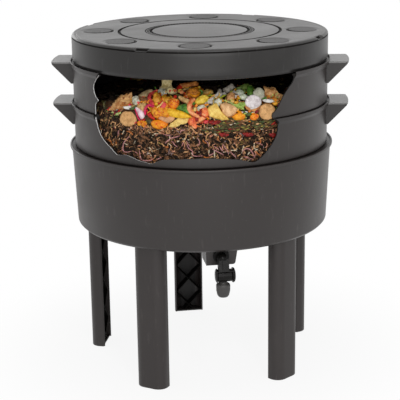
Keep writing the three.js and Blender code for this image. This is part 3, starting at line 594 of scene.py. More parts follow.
def window_cutter(low, high):
    """The block inside the outline, between two radii and two heights."""
    flat = [(math.tan(math.radians(a)), h) for a, h in window_outline()]
    bm = bmesh.new()
    front = [bm.verts.new((x * WEDGE_FRONT, -WEDGE_FRONT, h)) for x, h in flat]
    back = [bm.verts.new((x * WEDGE_BACK, -WEDGE_BACK, h)) for x, h in flat]
    join_rings(bm, [front, back])
    for t in tessellate_polygon([[Vector((x, h, 0)) for x, h in flat]]):
        bm.faces.new([front[i] for i in t])
        bm.faces.new([back[i] for i in t][::-1])
    face_outward(bm)
    band = lathe_solid([(CUT_NEAR, low), (CUT_FAR, low), (CUT_FAR, high), (CUT_NEAR, high)], 240)
    return boolean(bm, band, "INTERSECT")


# Lid

# Ring grooves of the top: radius, width, depth
LID_GROOVES = ((160.5, 5.4, 3.1), (97.4, 4.8, 3.2), (108.2, 1.6, 1.2), (246.2, 1.2, 0.7))
# Toothed ring: where it rises to and falls from its full depth, and its number of teeth
TOOTH_IN = (100.6, 101.4)
TOOTH_OUT = (105.4, 106.2)
TOOTH_COUNT = 96
# Pads: angle from one to the next, circle of their centres, and how far they lie below the top
PAD_STEP = 45.0
PAD_CIRCLE = 204.5
PAD_SINK = 0.25
PAD_EDGE = (27.0, 28.2)
# The dish round a pad: where it falls away from the pad, and where it rises to the top again
DISH_IN = (27.6, 28.5)
DISH_OUT = (29.6, 38.0)
# Notches in the edge: angle from one to the next, depth, half width and how far in they reach
NOTCH_STEP = 90.0
NOTCH_DEPTH = 5.2
NOTCH_SIDE = (12.3, 13.9)
NOTCH_IN = (245.6, 247.2)
LID_SIDES = 720
# Radii of the rings of corners on top, close together at the grooves, the toothed ring and the pads
LID_RADII = [0.0, 12, 26, 42, 58, 72, 84, 91, 93.5, 94.6, 95.3, 96, 97.4, 98.8, 99.6, 100.3, 101.4, 102.6,
             104.0, 105.4, 106.2, 107.0, 107.7, 108.2, 108.8, 109.5, 115, 128, 142, 154, 157.4, 158.2,
             158.8, 159.5, 160.5, 161.5, 162.2, 162.8, 163.6]
LID_RADII += [166.0 + k for k in range(79)]
LID_RADII += [245.2, 245.8, 246.2, 246.8, 247.4, 248, 249, 249.6]
# The rolled edge as radius and depth below the top, with a fine groove in it
LID_EDGE = [(251.2, 0.45), (252.8, 1.4), (254.0, 2.8), (254.6, 3.7), (254.7, 4.2), (253.7, 4.6), (253.7, 6.5),
            (254.8, 7.0), (255.0, 7.7)]
# The rolled edge's faces between these places are painted dark as shade in its fine groove
EDGE_GROOVE = (4, 7)
# The top is painted dark as shade in its recesses where it is deeper than this, or between two radii where it
# is deeper than the next; the last says how far round its inner side a pad's dish gets this painted shade
PAINTED_SHADE_DEPTH = 1.3
FINE_ZONE = (90, 170)
FINE_PAINTED_SHADE_DEPTH = 0.5
PAINTED_SHADE_SIDE = 0.3
# Skirt, foot and inside, back to the axis
LID_SKIRT = [
    (255.0, LID_TOP - 14), (255.05, LID_TOP - 26), (255.1, LID_TOP - 40), (255.2, LID_FOOT + 6.5),
    (254.9, LID_FOOT + 4.6), (253.6, LID_FOOT + 1.6), (252.9, LID_FOOT + 0.2), (252.6, LID_FOOT),
    (252.2, LID_FOOT - 0.3), (252.2, LID_FOOT - 1.7), (251.8, LID_FOOT - 2.0), (250.2, LID_FOOT - 2.0),
    (249.9, LID_FOOT - 1.7), (249.9, LID_FOOT + 3.0), (252.0, LID_FOOT + 7.0),
    (252.0, LID_TOP - 9.0), (251.0, LID_TOP - 6.0), (245.0, LID_TOP - 4.2), (168, LID_TOP - 3.2),
    (160.5, LID_TOP - 5.0), (153, LID_TOP - 3.6), (106, LID_TOP - 3.6), (100, LID_TOP - 5.0),
    (92, LID_TOP - 3.2), (0.0, LID_TOP - 3.2),
]


def from_pad(radius, angle):
    """Distance from the nearest pad's centre, and the part of it away from the axis."""
    turn = math.radians((angle - LID_TURN + PAD_STEP / 2) % PAD_STEP - PAD_STEP / 2)
    outward = radius * math.cos(turn) - PAD_CIRCLE
    return math.hypot(radius * math.sin(turn), outward), outward


def lid_top_height(radius, angle):
    """How far the lid's top lies below its highest level."""
    drop = 0.0
    for centre, width, depth in LID_GROOVES:
        d = abs(radius - centre)
        drop = max(drop, depth * (1 - smoothstep(width / 2 - 0.4, width / 2 + 0.6, d)))
    if TOOTH_IN[0] - 0.1 < radius < TOOTH_OUT[1] + 0.3:
        tooth = 0.5 + 0.5 * math.cos(math.radians(angle * TOOTH_COUNT))
        ring = smoothstep(*TOOTH_IN, radius) * (1 - smoothstep(*TOOTH_OUT, radius))
        drop = max(drop, ring * (0.4 + 1.1 * smoothstep(0.35, 0.65, tooth)))
    d, outward = from_pad(radius, angle)
    ahead = 0.5 - 0.5 * outward / max(d, 1.0)
    dish = 1.0 + 1.2 * ahead
    drop = max(drop, PAD_SINK * (1 - smoothstep(*PAD_EDGE, d)))
    drop = max(drop, dish * smoothstep(*DISH_IN, d) * (1 - smoothstep(*DISH_OUT, d)) ** 1.5)
    notch = (angle - LID_TURN + PAD_STEP / 2 + NOTCH_STEP / 2) % NOTCH_STEP - NOTCH_STEP / 2
    across = radius * math.sin(math.radians(notch))
    if abs(notch) < 20:
        side = 1 - smoothstep(*NOTCH_SIDE, abs(across))
        drop = max(drop, NOTCH_DEPTH * side * smoothstep(*NOTCH_IN, radius))
    return drop


def lid_section(angle):
    """Section of the lid at an angle, from the middle of its top to the middle of its underside."""
    section = [(r, LID_TOP - lid_top_height(r, angle)) for r in LID_RADII]
    dip = lid_top_height(LID_RADII[-1], angle)
    for r, d in LID_EDGE:
        section.append((r, LID_TOP - (max(d, dip + d * 0.2) if dip > 0.3 else d)))
    return section + LID_SKIRT


def lid_look(i, angle):
    """Which of the lid's materials a face of its section has: 0 body, 1 painted shade in recesses, 2 pad, 3
    top with painted light.
    """
    on_edge = i - len(LID_RADII)
    if on_edge >= -1:
        # The fine groove in the rolled edge gets painted shade
        return 1 if EDGE_GROOVE[0] <= on_edge < EDGE_GROOVE[1] else 0
    r = (LID_RADII[i] + LID_RADII[i + 1]) / 2
    d, outward = from_pad(r, angle)
    if d < DISH_IN[0]:
        return 2
    inner_side = outward < PAINTED_SHADE_SIDE * d
    fine = FINE_ZONE[0] < r < FINE_ZONE[1]
    deep = lid_top_height(r, angle) > (FINE_PAINTED_SHADE_DEPTH if fine else PAINTED_SHADE_DEPTH)
    # Recesses and the inner sides of the pads' dishes get painted shade
    marked = deep and (d > DISH_OUT[0] or inner_side) or d < DISH_OUT[0] and inner_side
    return 1 if marked else 3


def make_lid():
    bm = bmesh.new()
    rings = []
    for k in range(LID_SIDES):
        angle = 360.0 * k / LID_SIDES
        rings.append([bm.verts.new(polar(angle, r, z)) for r, z in lid_section(angle)])
    for k in range(LID_SIDES):
        left, right = rings[k], rings[(k + 1) % LID_SIDES]
        for i in range(len(left) - 1):
            f = bm.faces.new([left[i], left[i + 1], right[i + 1], right[i]])
            f.material_index = lid_look(i, 360.0 * (k + 0.5) / LID_SIDES)
    bmesh.ops.remove_doubles(bm, verts=bm.verts[:], dist=FINE_WELD)
    lid = finish_mesh(bm, "lid_shell", [LID, LID_PAINTED_SHADE, LID_PAD, LID_TOP_PAINTED_LIGHT], "lid", 38)
    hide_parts("lid")


# Trays

def tray_profile(bottom):
    """Section of a tray as (radius, height, rounding), from under its floor round to its upper side."""
    top = bottom + TRAY
    under = bottom - TRAY_FLOOR_DROP
    step = UPPER_STEP if bottom == UPPER else LOWER_STEP
    return [
        (0.0, under), (244.8, under, 2.0), (247.8, bottom - 0.2, 1.2), (251.2, bottom, 1.0),
        (252.6, bottom + step - 2.0, 0.8), (255.0, bottom + step, 1.0),
        (255.2, top - 12.5, 4.0), (259.4, top - 6.6, 3.0), (260.0, top, 0.9),
        (258.0, top, 0.5), (258.0, top - 4.5, 0.6), (249.0, top - 4.5, 0.5), (249.0, top - 7.0, 0.6),
        (252.5, top - 9.5, 1.0), (252.5, bottom + 5.0, 1.5), (245.5, bottom + 2.5, 1.5),
        (243.8, under + TRAY_FLOOR, 2.0), (0.0, under + TRAY_FLOOR),
    ]


def handle_plate(top):
    """The handle's plate, with a front edge round the tray's axis."""
    tip = math.sqrt(HANDLE_REACH ** 2 - HANDLE_HALF ** 2)
    turns = [math.asin(HANDLE_HALF / HANDLE_REACH) * (-1 + 2 * k / 12) for k in range(1, 12)]
    outline = [(HANDLE_ROOT, -HANDLE_HALF), (tip, -HANDLE_HALF, HANDLE_CORNER)]
    outline += arc(0.0, 0.0, HANDLE_REACH, turns)
    outline += [(tip, HANDLE_HALF, HANDLE_CORNER), (HANDLE_ROOT, HANDLE_HALF)]
    return prism(rounded(outline, 6), top - HANDLE_THICK, top)


def handle_web(top, y):
    """One of the two walls under the plate, down to the tray's wall."""
    tip = math.sqrt(HANDLE_REACH ** 2 - HANDLE_HALF ** 2)
    shape = [(HANDLE_ROOT, top - 1.5), (tip - 3.0, top - 1.5), (tip - 0.6, top - 3.0), (tip - 1.6, top - 5.4),
             (255.2, top - WEB_DEPTH), (HANDLE_ROOT, top - WEB_DEPTH)]
    web = body_of([[(p[0], side, p[1]) for p in shape] for side in (y, y + HANDLE_THICK)])
    face_outward(web)
    return web


def make_handle(name, bottom, label):
    """One carrying handle: a rounded plate on two webs."""
    top = bottom + TRAY - HANDLE_DROP
    bm = handle_plate(top)
    for y in (-HANDLE_HALF, HANDLE_HALF - HANDLE_THICK):
        bm = boolean(bm, handle_web(top, y), "UNION")
    ledge = bottom + TRAY - LEDGE_DROP
    above = bottom + TRAY + 9
    core = lathe_solid([(0, bottom), (TRAY_SIDE, bottom), (TRAY_SIDE, ledge), (TRAY_RIM, ledge),
                        (TRAY_RIM, above), (0, above)], 240)
    bm = boolean(bm, core, "DIFFERENCE")
    # Faces below the plate get the webs' painted shade; the plate gets painted light
    for f in bm.faces:
        f.material_index = 1 if f.calc_center_median().z < top - HANDLE_THICK - 0.05 else 0
    bmesh.ops.dissolve_limit(bm, angle_limit=math.radians(2), verts=bm.verts[:], edges=bm.edges[:],
                              delimit={"MATERIAL"})
    turn = TRAY_TURN + (180 if label == "left" else 0)
    move(bm, Matrix.Rotation(math.radians(turn), 4, "Z"))
    handle = finish_mesh(bm, name + "_handle_" + label, [HANDLE_PLATE_PAINTED_LIGHT, HANDLE_WEBS_PAINTED_SHADE], name, 34)
    soften(handle, 0.7, 35)


def drain_holes(bottom):
    """The bodies that cut a tray's drain holes."""
    turns = [2 * math.pi * n / HOLE_SIDES for n in range(HOLE_SIDES)]
    holes = bmesh.new()
    for count, radius in HOLE_ROWS:
        for k in range(count):
            centre = polar(360.0 * k / count + TRAY_TURN, radius)
            ring = arc(centre.x, centre.y, HOLE_RADIUS, turns)
            merge(holes, prism(ring, bottom - 19, bottom - 10))
    return holes


def make_tray(name, bottom):
    bm = lathe_solid(tray_profile(bottom), 240, 3)
    bm = boolean(bm, drain_holes(bottom), "DIFFERENCE")
    paint(bm, 0)
    cut_from = bottom - (UPPER_CUT if bottom == UPPER else LOWER_CUT)
    bm = boolean(bm, window_cutter(cut_from, bottom + TRAY + 4), "DIFFERENCE")
    tray = finish_mesh(bm, name + "_shell", [SHELL, CUT], name, 30)
    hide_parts(name)
    for label in ("right", "left"):
        make_handle(name, bottom, label)


# Collector

# How far the tap hole lies below the collector's base, and where the sump and its hollow begin and end
TAP_DROP = 16.3
SUMP_OUTER = (-225.0, -175.0)
SUMP_INNER = (-222.0, -178.0)
# The hole for the tap: ends in front of the axis, and radius
TAP_HOLE_ENDS = (-228, -219)
TAP_HOLE_RADIUS = 9.8
# Sections of the sump box and its hollow: across, above the base, rounding
SUMP_BOX = [(-29.4, 3), (-28.4, -34.6, 6.0), (27.6, -34.6, 6.0), (33.6, 3)]
SUMP_WELL = [(-26.3, 8), (-26.3, 3), (-25.4, -31.6, 4.0), (24.6, -31.6, 4.0), (30.4, 3), (30.4, 8)]
# The collector's section as radius, height above its base, rounding
COLLECTOR_PROFILE = [
    (0.0, 0.0), (250.6, 0.0, 3.0), (255.3, 5.0, 4.0), (262.0, 154.5, 3.0), (262.0, 157.0, 0.6),
    (266.0, 158.0, 0.8), (266.0, 162.0, 1.3), (264.2, 162.6, 0.8), (262.4, 162.6, 0.5),
    (262.4, 160.5, 0.5), (249.0, 160.5, 0.5), (249.0, 158.0, 0.6),
    (259.0, 151.5, 2.0), (252.4, 9.0, 3.0), (247.3, 4.0, 2.5), (0.0, 4.0),
]


def base_place():
    return Matrix.Rotation(math.radians(BASE_TURN), 4, "Z")


def leg_place(k):
    turn = Matrix.Rotation(math.radians(BASE_TURN + 180 + 360 / LEG_COUNT * k), 4, "Z")
    return turn @ Matrix.Translation((0, -LEG_CIRCLE, 0)) @ Matrix.Rotation(math.pi, 4, "Z")


def leg_outline(inset, depth, corner, steps):
    """A channel open towards the axis, inset from the leg's outer faces."""
    half = LEG_WIDE / 2 - inset
    outer = LEG_DEEP / 2 - inset
    back = [(math.pi / 2) * k / steps for k in range(steps + 1)]
    left = arc(-half + corner, outer - corner, corner, [math.pi - turn for turn in back])
    right = arc(half - corner, outer - corner, corner, [math.pi / 2 - turn for turn in back])
    return [(-half, outer - depth)] + left + right + [(half, outer - depth)]


def sump_part(outline, ends):
    """A section of the sump, drawn out between two places in front of the axis."""
    pts = rounded(outline, 6)
    bm = body_of([[(p[0], y, GROUND + p[1]) for p in pts] for y in ends])
    face_outward(bm)
    move(bm, base_place())
    return bm


def make_collector():
    bm = lathe_solid([(p[0], GROUND + p[1], *p[2:]) for p in COLLECTOR_PROFILE], 256, 3)
    bm = boolean(bm, sump_part(SUMP_BOX, SUMP_OUTER), "UNION")
    bm = boolean(bm, sump_part(SUMP_WELL, SUMP_INNER), "DIFFERENCE")
    hole = tube([Vector((0, y, GROUND - TAP_DROP)) for y in TAP_HOLE_ENDS], TAP_HOLE_RADIUS, 40)
    move(hole, base_place())
    bm = boolean(bm, hole, "DIFFERENCE")
    for k in range(LEG_COUNT):
        outline = leg_outline(PLUG_INSET, PLUG_DEEP, PLUG_ROUND, 8)
        plug = prism(outline, GROUND - PLUG_DOWN, GROUND + PLUG_UP)
        move(plug, leg_place(k))
        bm = boolean(bm, plug, "UNION")
    paint(bm, 0)
    collector = finish_mesh(bm, "collector_shell", [SHELL], "base", 30)
    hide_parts("collector_tray")


# Legs

def leg_rib(n, way, top):
    """One leaning rib across the channel, as deep as the channel is at each place."""
    slope = way * RIB_PITCH / RIB_RUN
    flat = LEG_WIDE / 2 - LEG_WALL
    inner_round = LEG_ROUND - LEG_WALL
    rows = []
    for n_y in range(8):
        y = RIB_FROM + RIB_DEPTH * n_y / 7
        past = y + LEG_ROUND - LEG_DEEP / 2
        half = flat
        if past > 0:
            half = flat - inner_round + math.sqrt(max(0.0, inner_round ** 2 - past ** 2))
        half += RIB_BITE
        middle = RIB_LOW + RIB_PITCH * n
        corners = ((-half, -1), (half, -1), (half, 1), (-half, 1))
        rows.append([(x, y, middle + slope * x + side * RIB_HALF_THICK) for x, side in corners])
    rib = body_of(rows)
    for level, up in ((FOOT_THICK / 2, -1), (top - LEG_DEEP, 1)):
        whole = rib.verts[:] + rib.edges[:] + rib.faces[:]
        bmesh.ops.bisect_plane(rib, geom=whole, plane_co=(0, 0, level), plane_no=(0, 0, up), clear_outer=True)
        bmesh.ops.holes_fill(rib, edges=[e for e in rib.edges if len(e.link_faces) == 1], sides=0)
    # Ribs get painted shade
    paint(rib, 1)
    return rib


def make_leg(k):
    top = GROUND - LEG_GAP
    outer = leg_outline(0.0, LEG_DEEP, LEG_ROUND, 12)
    inner = leg_outline(LEG_WALL, LEG_DEEP, LEG_ROUND - LEG_WALL, 12)
    bm = prism(outer + inner[::-1], 0.0, top)
    foot = leg_outline(FOOT_INSET, LEG_DEEP - FOOT_INSET, LEG_ROUND - FOOT_INSET, 12)
    merge(bm, prism(foot, 0.0, FOOT_THICK))
    for n in range(RIB_COUNT):
        for way in (-1, 1):
            merge(bm, leg_rib(n, way, top))
    face_outward(bm)
    # Faces turned to the channel's opening get the painted shade of its inside
    for f in bm.faces:
        if f.normal.y < -0.9 and f.material_index == 0:
            f.material_index = 2
    move(bm, leg_place(k))
    leg = finish_mesh(bm, "leg_%d_channel" % (k + 1), [LEGS, LEG_RIBS_PAINTED_SHADE, LEG_INSIDE_PAINTED_SHADE], "base", 30)
    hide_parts("leg_%d" % (k + 1))


# Tap

TAP_Z = GROUND - TAP_DROP
FLANGE_Y = -227.0
ELBOW_Y = -231.6
BARREL_Y = -247.0
BARREL_Z = TAP_Z - 32.0
BARREL = Vector((0, BARREL_Y, BARREL_Z))
# Lean of the neck from the vertical, in degrees, and the radius and centre of its bend
NECK_LEAN = 77.7
BEND_RADIUS = 6.0
BEND_Y = -236.0
# The neck's radius, and the place that it passes on its way to the barrel
NECK_RADIUS = 9.9
NECK_Y = -245.2
NECK_Z = TAP_Z - 21.0
# Below this the tap has the spout's look
SPOUT_Z = BARREL_Z - 12.5
# The strap between the lever's cheeks: radii about the barrel, start and sweep in degrees, and ends
STRAP_RADII = (15.9, 12.5)
STRAP_FROM = 38.5
STRAP_SWEEP = 9.0
STRAP_ENDS = (-13.6, 20.5)
# The lever's arm and the rib on it: half width, start, underside, upper side
LEVER_ARMS = ((10.0, 8.0, 12.7, 15.9), (2.5, 12.0, 14.3, 18.5))
ARM_END = 30.0


def along_y(profile, z, sides=48):
    """A body turned about a line along Y: profile of (radius, y)."""
    bm = lathe_solid(profile, sides, 3)
    move(bm, Matrix.Translation((0, 0, z)) @ Matrix.Rotation(math.radians(-90), 4, "X"))
    return bm


def about_barrel(profile, sides=56):
    """A body turned about the barrel's line along X: profile of (radius, x)."""
    bm = lathe_solid(profile, sides, 3)
    move(bm, Matrix.Translation(BARREL) @ Matrix.Rotation(math.radians(90), 4, "Y"))
    return bm


def under_barrel(profile, sides):
    """A body turned about the upright line through the barrel."""
    bm = lathe_solid(profile, sides)
    bmesh.ops.translate(bm, vec=BARREL, verts=bm.verts[:])
    return bm


def tap_elbow():
    """The neck that bends down to the barrel."""
    path = [Vector((0, ELBOW_Y + 3, TAP_Z))]
    for k in range(9):
        a = math.radians(NECK_LEAN * k / 8)
        path.append(Vector((0, BEND_Y - BEND_RADIUS * math.sin(a), TAP_Z - BEND_RADIUS * (1 - math.cos(a)))))
    path += [Vector((0, NECK_Y, NECK_Z)), BARREL]
    return tube(path, NECK_RADIUS, 40)


def make_tap():
    """Flange, neck, barrel and spout in one, with the bores cut out."""
    bm = along_y([(0, -201.0), (6.5, -201.0, 0.5), (9.5, -201.0, 0.8), (9.5, FLANGE_Y), (15.0, FLANGE_Y, 0.6),
                  (15.0, ELBOW_Y + 0.8, 1.0), (13.8, ELBOW_Y, 0.8), (0, ELBOW_Y)], TAP_Z)
    barrel = about_barrel([(0, -11.2), (10.9, -11.2, 0.5), (12.0, -10.2, 0.6), (12.0, 15.6, 0.8),
                           (10.6, 17.0, 0.6), (0, 17.0)])
    spout = under_barrel([(0, 0), (7.4, 0), (7.4, -13.2, 1.5), (9.0, -14.6, 1.0), (13.2, -17.6, 2.0),
                          (13.6, -19.6, 1.5), (13.3, -30.0, 6.0), (11.4, -38.5, 4.0), (9.2, -41.9, 1.0),
                          (8.6, -42.0, 0.4), (8.0, -41.0), (5.5, -16.0, 1.0), (5.5, -4.0), (0, -4.0)], 56)
    for part in (tap_elbow(), barrel, spout):
        bm = boolean(bm, part, "UNION")
    bore = under_barrel([(0, -2.0), (5.45, -2.0), (5.45, -16.0), (8.0, -44.0), (0, -44.0)], 48)
    plug_seat = about_barrel([(0, -14), (8.3, -14), (8.3, 20), (0, 20)], 48)
    inlet = along_y([(0, -232.0), (6.5, -232.0), (6.5, -199.0), (0, -199.0)], TAP_Z, 40)
    for part in (bore, plug_seat, inlet):
        bm = boolean(bm, part, "DIFFERENCE")
    for f in bm.faces:
        f.material_index = 1 if f.calc_center_median().z < SPOUT_Z else 0
    move(bm, base_place())
    body = finish_mesh(bm, "tap_casting", [TAP, SPOUT], "base", 34)
    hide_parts("tap_body")


def lever_strap():
    """The strip that joins the lever's two cheeks over the barrel."""
    turns = [math.radians(STRAP_FROM + STRAP_SWEEP * k / 8) for k in range(9)]
    section = arc(0.0, 0.0, STRAP_RADII[0], turns) + arc(0.0, 0.0, STRAP_RADII[1], turns[::-1])
    strap = body_of([[(x, BARREL_Y - p[0], BARREL_Z + p[1]) for p in section] for x in STRAP_ENDS])
    face_outward(strap)
    return strap


def make_tap_lever():
    """Two domed cheeks, the strip between them, and the arm up along the neck with its rib."""
    left = about_barrel([(0, -15.5), (5.0, -15.4), (9.6, -14.8), (12.4, -13.7), (13.5, -12.6), (13.5, -11.7),
                         (0, -11.7)])
    right = about_barrel([(0, 17.5), (14.5, 17.5, 0.5), (14.5, 19.6), (13.3, 21.4), (10.2, 22.7), (5.2, 23.4),
                          (0, 23.5)])
    lever = boolean(left, right, "UNION")
    lever = boolean(lever, lever_strap(), "UNION")
    place = Matrix.Translation(BARREL) @ Matrix.Rotation(math.radians(NECK_LEAN), 4, "X")
    for half, start, low, high in LEVER_ARMS:
        corner = half * 0.55
        outline = [(-half, start), (half, start), (half, ARM_END, corner), (-half, ARM_END, corner)]
        arm = prism(rounded(outline, 6), low, high)
        move(arm, place)
        lever = boolean(lever, arm, "UNION")
    paint(lever, 0)
    move(lever, base_place())
    obj = finish_mesh(lever, "tap_lever_arm", [TAP], "tap_lever", 34)
    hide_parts("tap_lever")
    soften(obj, 0.5, 40)


def carry_over():
    """CAD nodes whose form is right keep it, with a real material."""
    looks = {
        "tap_plug": TAP, "tap_nut": TAP, "tap_plug_ring_left": RUBBER, "tap_plug_ring_right": RUBBER,
        "tap_washer_outer": RUBBER, "tap_washer_inner": RUBBER,
    }
    for name, mat in looks.items():
        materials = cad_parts[name].data.materials
        materials.clear()
        materials.append(mat)


# The photograph's camera and its sight lines, in mm and radians

CAMERA_DISTANCE = 2459.13
CAMERA_HEIGHT = 1025.06
FOCAL_PIXELS = 1233.827
CAMERA_PITCH = 0.27751
CAMERA_ROLL = 0.01394
CAMERA_YAW = -0.00166
FRAME_PIXELS = 400.0
MIDDLE_PIXEL = FRAME_PIXELS / 2
EYE = Vector((0.0, -CAMERA_DISTANCE, CAMERA_HEIGHT))
# A sight line is followed this far on both sides of the axis, in steps from coarse to fine
SEARCH_HALF = 400.0
COARSE_STEP = 16.0
FINE_STEP = 0.3
# Share of the way round by which a piece at the side turns with the wall
SWING_SHARE = 0.75


def camera_axes():
    """The camera's directions to the right, up and ahead."""
    flat = Vector((math.sin(CAMERA_YAW), math.cos(CAMERA_YAW), 0.0))
    level = Vector((math.cos(CAMERA_YAW), -math.sin(CAMERA_YAW), 0.0))
    upright = Vector((0.0, 0.0, 1.0))
    ahead = flat * math.cos(CAMERA_PITCH) - upright * math.sin(CAMERA_PITCH)
    above = flat * math.sin(CAMERA_PITCH) + upright * math.cos(CAMERA_PITCH)
    right = level * math.cos(CAMERA_ROLL) - above * math.sin(CAMERA_ROLL)
    up = level * math.sin(CAMERA_ROLL) + above * math.cos(CAMERA_ROLL)
    return right, up, ahead


CAMERA_RIGHT, CAMERA_UP, CAMERA_AHEAD = camera_axes()


def sight_line(px, py):
    """The direction in which a pixel of the photograph looks."""
    across = (px - MIDDLE_PIXEL) / FOCAL_PIXELS
    down = (py - MIDDLE_PIXEL) / FOCAL_PIXELS
    return (CAMERA_AHEAD + CAMERA_RIGHT * across - CAMERA_UP * down).normalized()


def pixel_of(p):
    """Where a point shows in the photograph."""
    gap = p - EYE
    depth = gap.dot(CAMERA_AHEAD)
    return (MIDDLE_PIXEL + FOCAL_PIXELS * gap.dot(CAMERA_RIGHT) / depth,
            MIDDLE_PIXEL - FOCAL_PIXELS * gap.dot(CAMERA_UP) / depth)


def mean_pixel(pixels):
    return [sum(p[k] for p in pixels) / len(pixels) for k in (0, 1)]


def flat_radius(p):
    return math.hypot(p[0], p[1])


def bank_level(radius):
    """Height of the bank of scraps behind the window, highest on the axis."""
    share = min(1.0, radius / WALL_INNER)
    return HEAP_FOOT + HEAP_EDGE + HEAP_RISE * (1 - share ** 4)


def heap_level(x, y):
    """Height of the whole heap: banked up behind the window, low at the back."""
    front = -y / WALL_INNER
    bank = bank_level(math.hypot(x, y)) - HEAP_FOOT
    return HEAP_FOOT + HEAP_BACK + (bank - HEAP_BACK) * smoothstep(HEAP_FROM_SHARE, HEAP_TO_SHARE, front)


def first_hit(px, py, inside):
    """Where a sight line first meets what the test says."""
    line = sight_line(px, py)
    reach = CAMERA_DISTANCE - SEARCH_HALF
    step = COARSE_STEP
    while reach < CAMERA_DISTANCE + SEARCH_HALF:
        p = EYE + line * reach
        if inside(p):
            if step < FINE_STEP:
                return p
            reach -= step
            step /= 4
        reach += step
    return None


def on_heap(p):
    return flat_radius(p) < FOOD_REACH and p.z < bank_level(flat_radius(p))


def heap_hit(px, py):
    return first_hit(px, py, on_heap)


def wall_hit(px, py, radius):
    return first_hit(px, py, lambda p: flat_radius(p) < radius)


def as_deep_as(line, px, py):
    """The place on a sight line that is as deep in the view as the heap is at another pixel."""
    return EYE + line * ((heap_hit(px, py).y - EYE.y) / line.y)


def settle(p, line, more=0.0):
    """Keeps a point inside the tray's wall: moved back along its sight line, the order kept."""
    radius = flat_radius(p)
    if radius <= SETTLE_FROM:
        return p
    want = SETTLE_FROM + (SETTLE_ROOM + more) * (1 - math.exp((SETTLE_FROM - radius) / 12))
    q = p.copy()
    while flat_radius(q) > want:
        q += line * 0.1
    return q


def lean(tilt, swing=0.0):
    """Outward, sideways and upward directions of a plane that leans back by tilt degrees."""
    a, t = math.radians(swing), math.radians(tilt)
    out = Vector((math.sin(a) * math.cos(t), -math.cos(a) * math.cos(t), math.sin(t)))
    side = Vector((math.cos(a), math.sin(a), 0))
    rise = Vector((-math.sin(a) * math.sin(t), math.cos(a) * math.sin(t), math.cos(t)))
    return out, side, rise


def place_outline(pixels, tilt, toward, anchor=None):
    """An outline seen in the photograph, laid on a leaning plane that rests on the heap."""
    px, py = mean_pixel(pixels)
    line = sight_line(px, py)
    if anchor is None:
        rest = heap_hit(px, py) or heap_hit(px, py + 6)
    else:
        rest = as_deep_as(line, *anchor)
    centre = settle(rest - line * toward, line)
    swing = SWING_SHARE * angle_of(centre)
    out, side, rise = lean(tilt, swing)
    outline = []
    for point in pixels:
        ray = sight_line(*point)
        q = EYE + ray * ((centre - EYE).dot(out) / ray.dot(out)) - centre
        outline.append((q.dot(side), q.dot(rise)))
    return centre, outline, swing


def place_path(pixels, toward):
    """A path seen in the photograph, laid over the heap."""
    out = []
    for px, py in pixels:
        line = sight_line(px, py)
        rest = heap_hit(px, py) or as_deep_as(line, px, py + 5)
        out.append(settle(rest - line * toward, line, 2.0))
    return out


def disc(px, py, half_width, half_height, sides=14, wobble=0.03, phase=0.0):
    """A slightly uneven round outline in pixels."""
    out = []
    for k in range(sides):
        a = 2 * math.pi * k / sides
        w = 1 + wobble * math.sin(3 * a + phase) + wobble * 0.6 * math.sin(5 * a + 2 * phase)
        out.append((px + half_width * w * math.cos(a), py + half_height * w * math.sin(a)))
    return out


# What the window shows, in pixels of the photograph

# Stands for the mm towards the viewer where a piece lies on the wall of the fill
AT_WALL = -99
# The pixel of the heap that is as deep as the tall stalk
STALK_ANCHOR = (166.0, 88.5)

